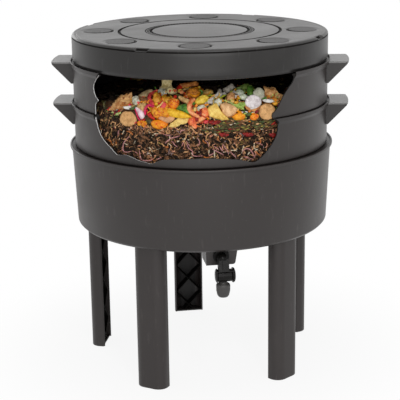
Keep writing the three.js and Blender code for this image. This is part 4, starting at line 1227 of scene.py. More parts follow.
# piece, look, lean back in degrees, mm towards the viewer, thickness, bulge, outline
SLABS = [
    ("skin_left", "skin", 34, 6, 2.2, 7,
     [(109.2, 108.4), (112.3, 103), (117.2, 97.6), (120.8, 94.3), (126.6, 93.4), (129.2, 94.5),
      (132.2, 91.6), (131, 95.4), (132.8, 101.2), (131.9, 104.8), (126.6, 106.6), (120.3, 108.8),
      (115.9, 109.5), (110.9, 109.5)]),
    ("white_strip_left", "white", 30, 9, 3.0, 1,
     [(123, 107), (129.2, 105.9), (134.2, 105.7), (135.1, 107), (131.9, 108.8), (125.7, 109.2)]),
    ("cauliflower_left", "cream_white", 40, 5, 7.0, 3,
     [(132.4, 97.2), (137.3, 95.9), (138.6, 98.5), (138.2, 100.3), (142, 101.7), (139.1, 103.4),
      (136.4, 105.7), (133.3, 104.3), (132.2, 101.2)]),
    ("ridge_left", "chip", 45, 10, 6.0, 2,
     [(138.2, 95.9), (144.9, 91.4), (151.6, 89.4), (153.4, 90.9), (148.9, 93.6), (148, 97.2),
      (144.4, 97.2), (140, 97.2)]),
    ("brown_left", "brown", 45, 8, 5.0, 2,
     [(138.2, 96.8), (142.6, 97.6), (148.4, 98.1), (149.8, 101.2), (144.4, 103), (140.9, 100.3)]),
    ("amber_lump", "amber", 40, 4, 9.0, 5,
     [(153.4, 95), (156.5, 92.3), (159.6, 94.1), (160.9, 98.5), (160.5, 103), (156.5, 106.6),
      (153.8, 104.8), (152.9, 99.4)]),
    ("pale_lump", "cream_white", 40, 3, 7.0, 3,
     [(157.8, 90.9), (160.5, 88.5), (165, 89.6), (166.8, 91.4), (165, 95), (161.4, 96.3), (158.3, 94.5)]),
    ("pink_wedge", "pink", 30, 9, 8.0, 4,
     [(135.5, 107.9), (139.5, 107), (142.2, 109.2), (144.4, 112.8), (144, 116.4), (140.9, 119.1),
      (138.2, 115.1)]),
    ("beige_chip", "beige", 36, 6, 5.0, 2,
     [(136.8, 106.6), (140.9, 104.3), (146.2, 103.4), (145.3, 107.5), (143.1, 111), (140.9, 110.1),
      (138.2, 108.4)]),
    ("mush_orange", "orange_mush", 40, 4, 9.0, 4,
     [(150.7, 106.6), (155.1, 106.6), (159.6, 104.8), (168, 103), (169.4, 110.1), (168, 116.4),
      (160.5, 115.9), (155.6, 118.2), (152, 114.6)]),
    ("red_bit_upper", "red", 36, 7, 5.0, 3,
     [(157.8, 109.2), (160.5, 105.7), (163.6, 103), (166.3, 103.9), (166.8, 106.6), (162.7, 109.2),
      (159.6, 110.6)]),
    ("red_bit_lower", "red", 36, 9, 6.0, 3,
     [(146.7, 113.7), (150.7, 112.8), (152.9, 115.9), (155.1, 118.2), (153.8, 119.5), (149.3, 117.3)]),
    ("potato_left", "potato", 18, 11, 6.5, 1.2, disc(128.4, 118.6, 8.5, 8.2, 14, 0.02)),
    ("orange_patch", "orange_mush", 24, 8, 7.0, 4,
     [(136.8, 122.2), (140.4, 120.4), (144.4, 120.9), (148.4, 123.1), (149.3, 126.2), (146.2, 128.4),
      (141.8, 126.7), (138.2, 125.8)]),
    ("carrot_front", "orange_bright", 22, 12, 12.0, 6,
     [(150.7, 122.6), (154.2, 120), (159.6, 119.3), (165, 120), (168, 122.6), (168.5, 125.3), (165, 128.4),
      (159.6, 129.6), (154.2, 128.4), (151.6, 125.8)]),
    # Painted highlight: a small white piece as the glint on the carrot
    ("carrot_painted_glint", "white", 22, 19, 1.6, 0.4,
     [(158.2, 123.4), (160.2, 122.6), (161.6, 123.6), (160.4, 124.8), (158.6, 124.6)]),
    ("dark_bit_left", "olive_dark", 30, 8, 4.0, 2,
     [(146.2, 119.5), (150.7, 119.1), (152.5, 121.3), (149.8, 124), (146.7, 122.6)]),
    ("maroon_bit", "maroon", 30, 4, 4.0, 2,
     [(111.8, 110.6), (116.8, 109.9), (120.8, 111), (119.4, 113.3), (114.1, 115.1)]),
    ("green_bit_left", "green_dark", 34, 10, 3.0, 1.5,
     [(129.2, 108.8), (132.8, 107), (135.9, 105.7), (135.5, 107.9), (131.9, 109.9)]),
    ("stalk_slab", "stalk", 12, -8, 5.0, 1.5,
     [(162.4, 78.2), (172.0, 78.2), (171.4, 84.6), (173.4, 89.6), (165.4, 91.4), (158.6, 90.6),
      (161.6, 85.4)]),
    ("stalk_foot", "stalk", 30, 0, 6.0, 2,
     [(166.7, 88.5), (171.2, 87.2), (176.5, 89.2), (176.5, 92.7), (170.3, 94.5), (167.1, 92.7)]),
    ("crust_slab", "crust", 28, 14, 7.0, 1.5,
     [(179.6, 84.2), (188.6, 82.7), (196.2, 81.5), (197.9, 82.9), (197.9, 85.4), (189.5, 87.2),
      (181.9, 88.9)]),
    ("red_left", "red_dark", 34, 0, 6.0, 2,
     [(176.5, 89.2), (179.2, 85.1), (182.3, 86.9), (181.4, 91.4), (177, 92.7)]),
    ("roll", "orange_brown", 30, 7, 12.0, 4, disc(193.2, 93.8, 7.2, 5.8, 12, 0.03)),
    # Painted shade: a dark disc as the shadowed hollow of the roll
    ("roll_hole_painted_shade", "soil_dark", 30, 17, 2.0, 0.2, disc(195.7, 91.8, 2.2, 2.0, 10, 0.05)),
    ("chunk_right", "tan", 38, 3, 8.0, 3,
     [(203.3, 90.9), (208.2, 89.2), (213.1, 91.4), (212.2, 95), (207.3, 95.4), (203.8, 94.5)]),
    ("beige_stick", "beige", 38, 7, 6.0, 1.5,
     [(177.9, 97.2), (180.1, 95.9), (185, 98.1), (190.4, 100.3), (190.8, 103), (187.7, 104.3),
      (183.2, 102.1), (179.2, 99.4)]),
    ("pepper_flower", "orange_red", 38, 8, 9.0, 5,
     [(167.6, 103), (169.8, 99), (173.8, 97.2), (177.9, 99.4), (179.6, 103.9), (177, 107.9),
      (172.5, 108.4), (168.9, 107)]),
    ("amber_left", "amber", 40, 5, 8.0, 4,
     [(160.4, 99), (164.9, 96.8), (169.8, 97.2), (170.7, 101.2), (168, 103.9), (162.7, 103.4)]),
    ("pink_red_left", "red_pink", 36, 7, 6.0, 3,
     [(159.1, 108.8), (161.3, 104.3), (164.5, 102.3), (167.1, 104.8), (165.8, 108.4), (161.8, 110.6)]),
    ("leaf_green", "leaf", 40, 6, 1.6, 3,
     [(175.8, 108.4), (181, 104.8), (185, 103.9), (189, 105.7), (191.2, 110.1), (191.2, 114.2),
      (185, 111.9), (179.6, 109.7)]),
    ("yellow_peel", "yellow", 28, 12, 5.0, 5,
     [(161.3, 111.3), (165.4, 108.8), (168.9, 107.7), (178.8, 109.9), (186.8, 113), (191.2, 115.9),
      (191.7, 117.1), (186.8, 118), (180.1, 117.7), (172.5, 116.8), (166.2, 114.6)]),
    ("slice_under", "potato_pink", 22, 10, 5.0, 2,
     [(157.3, 116.8), (162.7, 115.1), (168.9, 113.9), (173.8, 115.9), (175, 118.2), (172.5, 121.3),
      (167.6, 123.1), (161.8, 120.9)]),
    ("pale_slice", "pale_yellow", 16, 9, 5.5, 1.2,
     [(168.5, 126.7), (170.3, 123.5), (175.2, 120), (178.8, 117.1), (185, 117.3), (191.2, 116.8),
      (189, 120.9), (186.3, 123.5), (179.6, 125.8), (174.7, 127.6)]),
    ("lemon_left", "lemon", 36, 8, 9.0, 4,
     [(194.4, 102.1), (197.9, 97.6), (202.9, 95.2), (207.8, 95.9), (208.7, 99), (204.6, 103.4),
      (199.3, 104.8), (195.7, 104.3)]),
    ("cream_bit", "cream_white", 30, 11, 6.0, 2,
     [(196.6, 108.4), (199.3, 105.7), (204.2, 105.2), (205.1, 107.9), (200.2, 109.2), (198.4, 111)]),
    ("tomato_side", "tomato", 28, 12, 9.0, 5,
     [(202.4, 108.4), (206, 107), (208.7, 112.8), (208.2, 116.4), (204.6, 117.7), (201.5, 115.9),
      (201.5, 111)]),
    ("tomato_dark", "maroon_red", 26, 10, 5.0, 2,
     [(197.5, 111.5), (201.5, 111), (202, 114.6), (199.3, 116.4), (197.1, 113.7)]),
    ("tomato_low", "tomato", 22, 12, 9.0, 4,
     [(187.7, 120.4), (191.2, 117.3), (195.3, 117.3), (196.2, 120.9), (195.3, 124.4), (191.2, 125.8),
      (188.6, 124.4)]),
    ("tomato_low_dark", "maroon_red", 22, 12, 5.0, 2,
     [(194.8, 118.2), (198.8, 117.7), (199.3, 120.4), (196.6, 121.8), (194.8, 120.4)]),
    ("salmon_low", "salmon", 22, 11, 7.0, 3,
     [(198.8, 117.3), (204.2, 115.5), (206.9, 117.3), (202.9, 120.9), (198.4, 122.2)]),
    ("tomato_foot", "tomato", 18, 11, 7.0, 3,
     [(190.8, 124.4), (195.3, 122.6), (197.9, 125.3), (197.1, 128.4), (193, 129.3)]),
    ("lemon_wedge", "lemon_pale", 22, 13, 7.0, 2.5,
     [(206.7, 108.8), (210.9, 105.2), (215.8, 103), (218.5, 106.6), (222.1, 111.9), (225.6, 115.9),
      (229, 119.3), (222.5, 120.2), (213.6, 117.7), (208.4, 115.5)]),
    ("mushroom_shell", "shell_beige", 24, 15, 8.0, 5,
     [(219.7, 104.8), (221.7, 103.2), (226.2, 102.5), (231.5, 104.3), (237.5, 108.4), (236.4, 112.4),
      (232, 115.9), (227.1, 116.4), (223, 113.7), (221.2, 109.2)]),
    ("flake_a", "white_grey", 34, 6, 3.0, 1.5,
     [(204.2, 104.3), (206.9, 100.3), (212.7, 97.2), (213.6, 99.4), (210, 103), (205.5, 105.7)]),
    ("flake_b", "white_grey", 36, 5, 3.0, 1.5,
     [(211.8, 97.2), (216.2, 93.6), (222.5, 92.3), (221.6, 95.9), (214.9, 99.4)]),
    ("flake_c", "cream_white", 32, 8, 5.0, 2,
     [(214.1, 101.2), (217.7, 98.1), (219.9, 99.4), (222.1, 100.8), (220.8, 104.8), (217.7, 106.6),
      (215, 104.8)]),
    ("lump_brown", "shell_brown", 34, 8, 10.0, 5,
     [(225.9, 98.1), (227.5, 94.5), (231.1, 92.3), (234.6, 94.1), (235.1, 97.2), (232.9, 100.3),
      (228.4, 101.7), (226.2, 101.2)]),
    ("chip_grey_a", "grey_chip", 40, 14, 4.0, 2,
     [(223, 88.7), (227.1, 86.5), (232, 83.4), (234.2, 86.5), (232.9, 89.2), (228.4, 92.7), (224.4, 92.3)]),
    ("chip_grey_b", "grey_chip", 42, 14, 4.0, 1.5,
     [(217.7, 90.1), (219.9, 88.7), (222.1, 91.4), (220.4, 94.1), (217.7, 93.2)]),
    ("leaf_top", "leaf_dark", 42, 3, 1.6, 3,
     [(232.9, 89.2), (238.2, 86.9), (243.6, 83.4), (248.9, 83.8), (252.1, 86.9), (248.9, 89.6),
      (243.6, 89.2), (239.1, 89.6), (234.6, 91.4)]),
    ("leaf_right", "leaf", 36, 7, 1.6, 3,
     [(247.6, 87.8), (251.6, 85.6), (253.8, 89.6), (252.9, 92.7), (253.4, 95), (248.9, 95.9),
      (247.1, 92.7)]),
    ("petal_a", "pale_green_white", 36, 6, 4.0, 2,
     [(235.1, 91.4), (239.1, 89.2), (244, 91.4), (243.6, 95), (239.1, 95.4), (236, 93.6)]),
    ("petal_b", "pale_green_white", 34, 8, 4.0, 2,
     [(239.1, 95.9), (244.5, 94.1), (248, 96.8), (246.2, 100.3), (241.3, 99)]),
    ("leaf_bright", "leaf_light", 30, 11, 2.0, 3,
     [(232.2, 104.3), (236.4, 103), (242.7, 102.1), (246.2, 103), (244.5, 106.6), (243.6, 109.2),
      (239.1, 108.4), (234.2, 107)]),
    ("amber_drop", "amber", 30, 12, 5.0, 2,
     [(234.2, 102.1), (236.4, 100.5), (238.7, 101.7), (237.3, 103.9), (234.6, 103.7)]),
    ("turnip_disc", "white_disc", 20, 17, 5.0, 1.0, disc(253.0, 101.7, 8.2, 6.8, 14, 0.012)),
    ("turnip_rim", "rind", 20, 6, 5.0, 0.5, disc(252.6, 104.9, 7.9, 6.8, 14, 0.02)),
    ("cucumber_disc", "pale_disc", 24, 6, 4.5, 0.8, disc(258.8, 94.2, 6.0, 6.6, 14, 0.012)),
    ("skin_right", "skin", 34, 6, 2.2, 7,
     [(263.9, 85.4), (267.7, 86.5), (273, 86.3), (276.6, 89.6), (280.6, 94.5), (284, 94.7), (282, 99.4),
      (277.5, 102.1), (272.1, 100.8), (265.4, 98.1), (264.1, 92.7)]),
    ("white_strip_right", "white", 28, 10, 3.5, 1,
     [(262.3, 99.9), (265.9, 99), (272.6, 99.9), (273.5, 102.1), (268.6, 102.6), (264.6, 101.7)]),
    ("potato_right", "potato", 18, 12, 6.5, 1.2, disc(266.9, 111.6, 8.5, 8.3, 14, 0.02, 1.3)),
    ("dice_a", "orange", 26, 12, 12.0, 4,
     [(231.5, 117.3), (234.2, 115.1), (236.9, 113.3), (238.2, 111), (241.3, 111.5), (241.8, 113.3),
      (245.4, 115.9), (243.6, 119.5), (240, 120.4), (235.1, 120.2)]),
    ("dice_b", "orange_bright", 24, 10, 9.0, 3,
     [(249.4, 116.4), (252.9, 113.7), (256.5, 113.7), (258.8, 115.9), (257, 119.5), (252.1, 120.9),
      (249.8, 119.1)]),
    ("amber_smear", "amber", 22, 8, 6.0, 2,
     [(240, 120.9), (246.2, 117.3), (249.8, 119.5), (250.7, 122.6), (246.2, 122.2), (241.8, 122.6)]),
    ("green_knot", "green_dark", 26, 9, 5.0, 2,
     [(244, 111.9), (247.1, 112.8), (250.7, 112.4), (249.8, 115.1), (247.1, 116.4), (244.9, 114.6)]),
    ("maroon_knot", "maroon", 26, 9, 4.0, 2,
     [(254.3, 111), (257.9, 108.8), (258.3, 111.9), (255.6, 113.3)]),
    ("edge_red", "maroon", 26, 6, 5.0, 2, [(276.2, 103.9), (279.3, 103.4), (279.7, 105.7), (277.5, 107)]),
    ("edge_orange", "amber", 26, 8, 5.0, 2, [(272.1, 103), (276.2, 102.1), (277.5, 104.8), (274.4, 105.7)]),
    ("berry_a", "berry", 12, 8, 7.0, 3,
     [(265, 122.6), (269.5, 120.9), (276.2, 120.9), (276.6, 124.4), (272.1, 125.8), (267.7, 126.2)]),
    ("berry_b", "maroon_red", 8, AT_WALL, 5.0, 3,
     [(218.9, 133), (223.8, 132.7), (229.2, 134.8), (225, 137), (221.4, 136.7)]),
    ("berry_c", "maroon_red", 8, AT_WALL, 5.0, 3,
     [(242.3, 133), (248, 132.4), (254.1, 134.2), (250.5, 136.7), (245, 136.1)]),
    ("berry_d", "maroon_red", 8, AT_WALL, 5.0, 3,
     [(268.6, 134.2), (272.3, 133), (275.9, 134.2), (275.3, 137.3), (272.3, 137.6)]),
    ("berry_e", "maroon_red", 10, AT_WALL, 6.0, 3,
     [(206.8, 121.5), (213.5, 120.3), (220.8, 120.9), (218.9, 123.9), (211.7, 124.5)]),
    ("berry_f", "red_pink", 14, AT_WALL, 6.0, 3,
     [(203.2, 120.9), (207.4, 120), (209.2, 122.1), (205, 123.9)]),
]
# piece, look, mm towards the viewer, half width, flatness, path
STRIPS = [
    ("red_strip", "red_strip", 10, 3.6, 0.45,
     [(157.6, 89.8), (153.4, 92.7), (150.7, 94.5), (149.3, 97.2), (149.8, 99.9), (151.6, 102.6),
      (152.9, 105.7), (153.8, 108.4)]),
    ("magenta_ring", "magenta", 13, 2.6, 0.6,
     [(145.3, 115.1), (144.9, 110.6), (146.7, 106.6), (149.8, 105.2), (152.9, 106.6), (154.5, 108.8)]),
    ("magenta_edge", "magenta", 12, 1.8, 0.7,
     [(135.1, 108.8), (136.8, 113.3), (138.2, 117.3), (139.7, 120.9), (137.3, 122.6)]),
    ("cream_stripe", "pale_yellow", 14, 1.6, 0.7,
     [(163, 101.9), (160.5, 104.8), (157.8, 107), (155.6, 109.2)]),
    ("green_stem_left", "stem", 10, 2.4, 0.8,
     [(108, 119.5), (112.7, 116.8), (116.8, 114.2), (120.8, 112.6)]),
    ("peel_loop", "peel_brown", 9, 1.5, 0.7,
     [(103.4, 115.1), (106.5, 113), (110.1, 113.7), (111.4, 115.9), (109.2, 118.2), (105.6, 117.7),
      (103.4, 119.5), (103.6, 123.1), (105.6, 125.8), (108.5, 127.6)]),
    ("green_loop", "olive_dark", 3, 2.2, 0.7,
     [(105.6, 101.2), (104, 104.3), (104.7, 107.5), (107.8, 110.6), (111.4, 112.4)]),
    ("rim_line", "beige", 9, 1.3, 0.8, [(178.8, 92.7), (181.4, 90.9), (185, 89.2), (193, 87.8)]),
    ("roll_ring", "orange", 13, 1.9, 0.8,
     [(193, 88.3), (197.1, 87.8), (199.3, 90.9), (198.8, 94.1), (194.8, 95.9), (190.8, 94.5),
      (189.5, 91.4)]),
    ("diag_orange", "orange_brown", 5, 2.6, 0.7,
     [(197.9, 86), (200.6, 88.3), (202.9, 90.9), (204.2, 92.7)]),
    ("salmon_arc", "salmon", 13, 4.2, 0.75,
     [(194.8, 99), (191.2, 101.7), (189.5, 104.8), (189.2, 108.8), (191.2, 112.4), (195.3, 115.1),
      (199.3, 116.8)]),
    ("lime_stem", "lime", 11, 1.3, 0.9, [(217.7, 99.2), (221.2, 97.2), (226.2, 94.5)]),
    ("white_rim", "white", 15.5, 1.7, 0.7,
     [(255.2, 95.9), (258.8, 97.6), (260.5, 101.2), (259.6, 104.8), (256.5, 107), (252.9, 108.4),
      (250.3, 108.8)]),
    ("shell_rim", "crust", 14, 1.6, 0.7,
     [(221.7, 108.8), (222.8, 113.3), (225.7, 115.9), (229.3, 116.8), (232.9, 115.9), (236.4, 113.3)]),
    ("skin_line_a", "skin_line", 13, 1.2, 0.6, [(120.3, 97.6), (121.7, 101.7), (123.9, 104.3)]),
    ("skin_line_b", "skin_line", 12, 1.4, 0.6,
     [(119.9, 105.2), (125.7, 105.2), (129.2, 103.4), (131.9, 101.2)]),
    ("skin_line_c", "skin_line", 13, 1.3, 0.6,
     [(264.6, 93.6), (268.6, 97.6), (273.9, 98.5), (277.5, 98.1)]),
    ("skin_line_d", "skin_line", 13, 1.1, 0.6, [(272.6, 91.4), (274.4, 95), (274.4, 97.6)]),
    ("potato_rind_red", "red_pink", 12, 1.2, 0.8,
     [(129.2, 124), (132.4, 124), (135.5, 122.6), (136.8, 121.8)]),
    ("lime_stem_b", "stem", 9, 1.5, 0.8, [(223.9, 100.3), (227.5, 101.7), (231.1, 103), (233.8, 104.8)]),
    ("olive_smear_a", "olive", 7, 2.6, 0.6,
     [(230.2, 120.9), (233.8, 121.8), (238.2, 120.9), (241.8, 121.3), (246.2, 122.6)]),
    ("olive_smear_b", "olive", 7, 3.0, 0.6,
     [(252.3, 122.1), (255.9, 120.9), (259.5, 121.5), (261.4, 122.7)]),
    ("olive_smear_c", "olive", 6, 2.6, 0.6, [(229.8, 123.3), (232.9, 125.2), (232.9, 128.8), (235.9, 130)]),
    ("rind_pink", "red_pink", 8, 1.5, 0.8,
     [(207.3, 120.9), (210.9, 122.6), (215.8, 122.2), (221.6, 121.3)]),
    ("white_glint", "white", 14, 1.8, 0.8, [(217.7, 119.1), (221.7, 120.4), (225.3, 117.7)]),
]

# worm, half thickness in mm, path
WORMS = [
    ("worm_1", 1.5, [(129.1, 136.4), (126.5, 139.5), (123.8, 142.9), (123.0, 147), (123.2, 150.5),
     (126.2, 152.3), (131.5, 151.1)]),
    ("worm_2", 1.5, [(139.4, 150.5), (140, 155.8), (141.7, 159.6), (145, 160.6), (150.8, 160.3),
     (153.2, 158.2)]),
    ("worm_3", 1.5, [(165.2, 143.5), (167.2, 141.1), (171.4, 138.2), (176, 137), (179.6, 135.8)]),
    ("small", 1.4, [(180.2, 132.9), (181.3, 130.7), (184.9, 130)]),
    ("worm_4", 1.5, [(242, 151.8), (245.6, 148.8), (249.8, 149.4), (252.9, 153.6), (253.5, 156)]),
    ("small", 1.2, [(171.4, 141.1), (173.2, 142.6), (174.9, 145.2), (177.5, 147)]),
    ("small", 1.3, [(186.8, 144.5), (188.6, 148.2), (192.3, 151.2),
     (192.9, 155), (195.9, 156.2), (203.2, 155.9)]),
    ("small", 1.4, [(219.5, 146.4), (221.5, 149.5), (223.8, 152.4)]),
    ("small", 1.2, [(222.6, 143.6), (225, 147.5), (227.4, 151.2), (228.6, 154.2)]),
    ("small", 1.3, [(212, 148.9), (216, 151), (221, 153.5), (224, 155)]),
    ("small", 1.2, [(214, 146.4), (216.5, 147.8), (219, 149.8)]),
    ("small", 1.2, [(229.8, 151.2), (233, 154.5), (235.9, 157.6)]),
    ("small", 1.3, [(208.6, 155.5), (211, 154.8), (214.7, 152.4)]),
    ("small", 1.1, [(197, 137.3), (199.5, 141.5), (199, 144), (197, 146)]),
    ("small", 1.1, [(255.9, 142.7), (259, 143.2), (262.6, 145.2)]),
    ("small", 1.2, [(254, 158), (254.5, 156.5), (255.6, 154.5)]),
    ("small", 1.1, [(119.2, 130.2), (118.3, 132.5), (118, 135.5)]),
    ("small", 1.2, [(156.7, 159.4), (159, 158.6), (161.4, 157.2)]),
    ("small", 1.1, [(163, 134.4), (167.5, 135.2), (171.5, 136)]),
    ("small", 1.1, [(134.8, 151.6), (137.8, 153.6)]),
    ("small", 1.1, [(181.5, 146.5), (182.6, 143.8), (183.4, 142)]),
    ("small", 1.0, [(186.5, 141), (188, 144.2), (190.2, 146)]),
    ("small", 1.1, [(244, 157), (249, 158.2), (253, 159.2)]),
    ("small", 1.0, [(205, 140), (208, 143.5), (209, 146.8)]),
]


# Contents: materials

# Look: dark and light colour, noise scale, roughness, bump strength, and some have spots of a colour
FOOD = {
    "potato": ((0.52, 0.28, 0.11), (0.76, 0.46, 0.22), 70, 0.45, 0.5),
    "potato_pink": ((0.52, 0.26, 0.13), (0.74, 0.44, 0.25), 70, 0.45, 0.5),
    "skin": ((0.42, 0.17, 0.05), (0.76, 0.47, 0.22), 45, 0.4, 0.8, (0.30, 0.10, 0.03)),
    "skin_line": ((0.34, 0.11, 0.02), (0.55, 0.21, 0.04), 80, 0.5, 0.4),
    "white": ((0.60, 0.56, 0.50), (0.86, 0.83, 0.78), 80, 0.5, 0.6),
    "cream_white": ((0.46, 0.45, 0.30), (0.82, 0.80, 0.66), 90, 0.5, 0.8),
    "chip": ((0.22, 0.15, 0.07), (0.55, 0.44, 0.27), 90, 0.55, 0.8),
    "brown": ((0.08, 0.035, 0.015), (0.26, 0.12, 0.05), 90, 0.55, 0.8),
    "amber": ((0.50, 0.17, 0.01), (0.88, 0.47, 0.05), 80, 0.28, 0.7, (0.72, 0.08, 0.01)),
    "pink": ((0.76, 0.26, 0.36), (0.92, 0.76, 0.80), 40, 0.3, 0.4),
    "beige": ((0.46, 0.26, 0.09), (0.76, 0.52, 0.25), 80, 0.5, 0.7),
    "orange_mush": ((0.76, 0.14, 0.005), (0.98, 0.46, 0.03), 95, 0.22, 0.9, (0.62, 0.02, 0.01)),
    "red": ((0.46, 0.008, 0.008), (0.82, 0.05, 0.03), 70, 0.2, 0.6),
    "orange_bright": ((0.90, 0.19, 0.005), (0.99, 0.41, 0.015), 70, 0.14, 0.5, (0.74, 0.03, 0.01)),
    "orange": ((0.90, 0.25, 0.008), (0.98, 0.45, 0.02), 70, 0.3, 0.7),
    "olive_dark": ((0.03, 0.03, 0.01), (0.12, 0.11, 0.04), 80, 0.45, 0.7),
    "maroon": ((0.06, 0.004, 0.008), (0.20, 0.01, 0.02), 80, 0.3, 0.6),
    "maroon_red": ((0.11, 0.004, 0.006), (0.36, 0.020, 0.018), 110, 0.25, 0.9, (0.05, 0.008, 0.008)),
    "green_dark": ((0.03, 0.05, 0.02), (0.09, 0.15, 0.05), 80, 0.45, 0.6),
    "stalk": ((0.62, 0.50, 0.20), (0.96, 0.86, 0.52), 60, 0.45, 0.7),
    "crust": ((0.32, 0.09, 0.02), (0.66, 0.27, 0.07), 70, 0.5, 0.9, (0.42, 0.02, 0.01)),
    "red_dark": ((0.34, 0.01, 0.008), (0.62, 0.04, 0.02), 80, 0.3, 0.6),
    "orange_brown": ((0.46, 0.13, 0.01), (0.82, 0.34, 0.05), 80, 0.3, 0.8, (0.20, 0.05, 0.01)),
    "tan": ((0.40, 0.24, 0.06), (0.72, 0.50, 0.18), 90, 0.5, 0.8),
    "orange_red": ((0.74, 0.06, 0.005), (0.96, 0.36, 0.02), 90, 0.22, 0.9, (0.86, 0.66, 0.25)),
    "red_pink": ((0.60, 0.02, 0.05), (0.88, 0.13, 0.14), 70, 0.25, 0.5),
    "leaf": ((0.025, 0.12, 0.015), (0.15, 0.36, 0.05), 60, 0.36, 0.8),
    "leaf_dark": ((0.06, 0.11, 0.02), (0.22, 0.34, 0.09), 60, 0.4, 0.8),
    "leaf_light": ((0.24, 0.42, 0.07), (0.54, 0.72, 0.20), 60, 0.36, 0.8),
    "yellow": ((0.78, 0.38, 0.01), (0.96, 0.62, 0.04), 70, 0.32, 0.6),
    "pale_yellow": ((0.76, 0.48, 0.10), (0.94, 0.74, 0.28), 90, 0.42, 0.8),
    "lemon": ((0.72, 0.42, 0.01), (0.94, 0.74, 0.12), 60, 0.28, 0.6),
    "lemon_pale": ((0.84, 0.50, 0.08), (0.97, 0.76, 0.24), 60, 0.36, 0.8),
    "tomato": ((0.70, 0.04, 0.02), (0.96, 0.26, 0.10), 70, 0.16, 0.6, (0.90, 0.55, 0.25)),
    "salmon": ((0.84, 0.18, 0.06), (0.97, 0.46, 0.22), 60, 0.2, 0.6),
    "shell_beige": ((0.62, 0.31, 0.13), (0.86, 0.58, 0.34), 50, 0.35, 0.4),
    "shell_brown": ((0.34, 0.12, 0.03), (0.76, 0.46, 0.22), 60, 0.4, 0.8),
    "white_grey": ((0.46, 0.40, 0.34), (0.78, 0.72, 0.66), 80, 0.4, 0.7),
    "grey_chip": ((0.22, 0.19, 0.14), (0.50, 0.45, 0.38), 80, 0.45, 0.7),
    "pale_green_white": ((0.50, 0.58, 0.36), (0.82, 0.86, 0.70), 60, 0.36, 0.7),
    "white_disc": ((0.62, 0.54, 0.54), (0.80, 0.74, 0.74), 60, 0.3, 0.3),
    "rind": ((0.42, 0.13, 0.03), (0.74, 0.36, 0.13), 60, 0.35, 0.7),
    "pale_disc": ((0.40, 0.41, 0.29), (0.62, 0.61, 0.48), 60, 0.35, 0.4),
    "berry": ((0.26, 0.008, 0.008), (0.62, 0.04, 0.03), 110, 0.22, 0.9),
    "red_strip": ((0.46, 0.005, 0.02), (0.86, 0.12, 0.12), 50, 0.2, 0.4),
    "magenta": ((0.52, 0.005, 0.07), (0.80, 0.03, 0.15), 60, 0.2, 0.4),
    "stem": ((0.20, 0.34, 0.08), (0.52, 0.64, 0.28), 70, 0.36, 0.5),
    "lime": ((0.34, 0.44, 0.02), (0.60, 0.68, 0.07), 70, 0.36, 0.5),
    "peel_brown": ((0.20, 0.08, 0.04), (0.48, 0.26, 0.15), 80, 0.4, 0.6),
    "olive": ((0.14, 0.12, 0.02), (0.40, 0.35, 0.08), 90, 0.4, 0.8),
    "soil_dark": ((0.006, 0.0040, 0.0028), (0.022, 0.0135, 0.009), 120, 0.65, 0.9),
    "soil_mid": ((0.036, 0.018, 0.011), (0.145, 0.080, 0.046), 150, 0.55, 0.9),
    "shred_brown": ((0.125, 0.054, 0.026), (0.34, 0.165, 0.085), 180, 0.40, 0.8),
    "shred_tan": ((0.40, 0.20, 0.088), (0.86, 0.51, 0.27), 180, 0.33, 0.8),
    "shred_pink": ((0.38, 0.14, 0.09), (0.76, 0.37, 0.27), 180, 0.30, 0.6),
    "shred_mauve": ((0.16, 0.10, 0.10), (0.36, 0.26, 0.26), 180, 0.4, 0.8),
    "shred_olive": ((0.12, 0.08, 0.02), (0.32, 0.22, 0.07), 180, 0.5, 0.8),
    "shred_rust": ((0.34, 0.08, 0.02), (0.66, 0.22, 0.05), 180, 0.4, 0.8),
    "shred_pale": ((0.56, 0.44, 0.28), (0.88, 0.76, 0.56), 180, 0.36, 0.8),
    "worm": ((0.40, 0.15, 0.16), (0.72, 0.38, 0.42), 260, 0.16, 0.5, (0.30, 0.13, 0.22)),
}
MATS = {}
SOIL_SPECULAR = 0.10
FOOD_SPECULAR = 0.24
# Warmer than the looks as written, for all but the whites
WHITE_FROM = 0.6
GREEN_SHARE = 0.93
BLUE_SHARE = 0.8


def food_material(name):
    if name not in MATS:
        dark, light, scale, rough, bump, *spots = FOOD[name]
        if light[2] < WHITE_FROM * light[0]:
            dark, light = [(c[0], c[1] * GREEN_SHARE, c[2] * BLUE_SHARE) for c in (dark, light)]
        specular = SOIL_SPECULAR if name.startswith("soil") else FOOD_SPECULAR
        MATS[name] = organic("food_" + name, dark, light, scale, rough, bump, specular, *spots)
    return MATS[name]


# Contents: closed bodies

class Pile:
    """Many closed bodies in one mesh, each with its own material."""

    def __init__(self):
        self.verts = []
        self.faces = []
        self.looks = []
        self.names = []

    def add(self, verts, faces, look):
        base = len(self.verts)
        self.verts.extend(verts)
        self.faces.extend([tuple(base + i for i in f) for f in faces])
        if look not in self.names:
            self.names.append(look)
        self.looks.extend([self.names.index(look)] * len(faces))

    def build(self, name, body, slot, nodes=()):
        mesh = bpy.data.meshes.new(name)
        mesh.from_pydata([(v[0] * MM, v[1] * MM, v[2] * MM) for v in self.verts], [], self.faces)
        for look in self.names:
            mesh.materials.append(food_material(look))
        mesh.polygons.foreach_set("material_index", self.looks)
        mesh.polygons.foreach_set("use_smooth", [True] * len(self.faces))
        mesh.update()
        bm = bmesh.new()
        bm.from_mesh(mesh)
        face_outward(bm)
        bm.to_mesh(mesh)
        bm.free()
        obj = bpy.data.objects.new(name, mesh)
        scene.collection.objects.link(obj)
        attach(obj, body)
        if nodes:
            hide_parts(*nodes)


def smooth_loop(points, steps):
    """A smooth closed curve through points."""
    out = []
    count = len(points)
    for i in range(count):
        near = [Vector(points[(i + k) % count]) for k in (-1, 0, 1, 2)]
        out += [curve_point(*near, k / steps) for k in range(steps)]
    return out


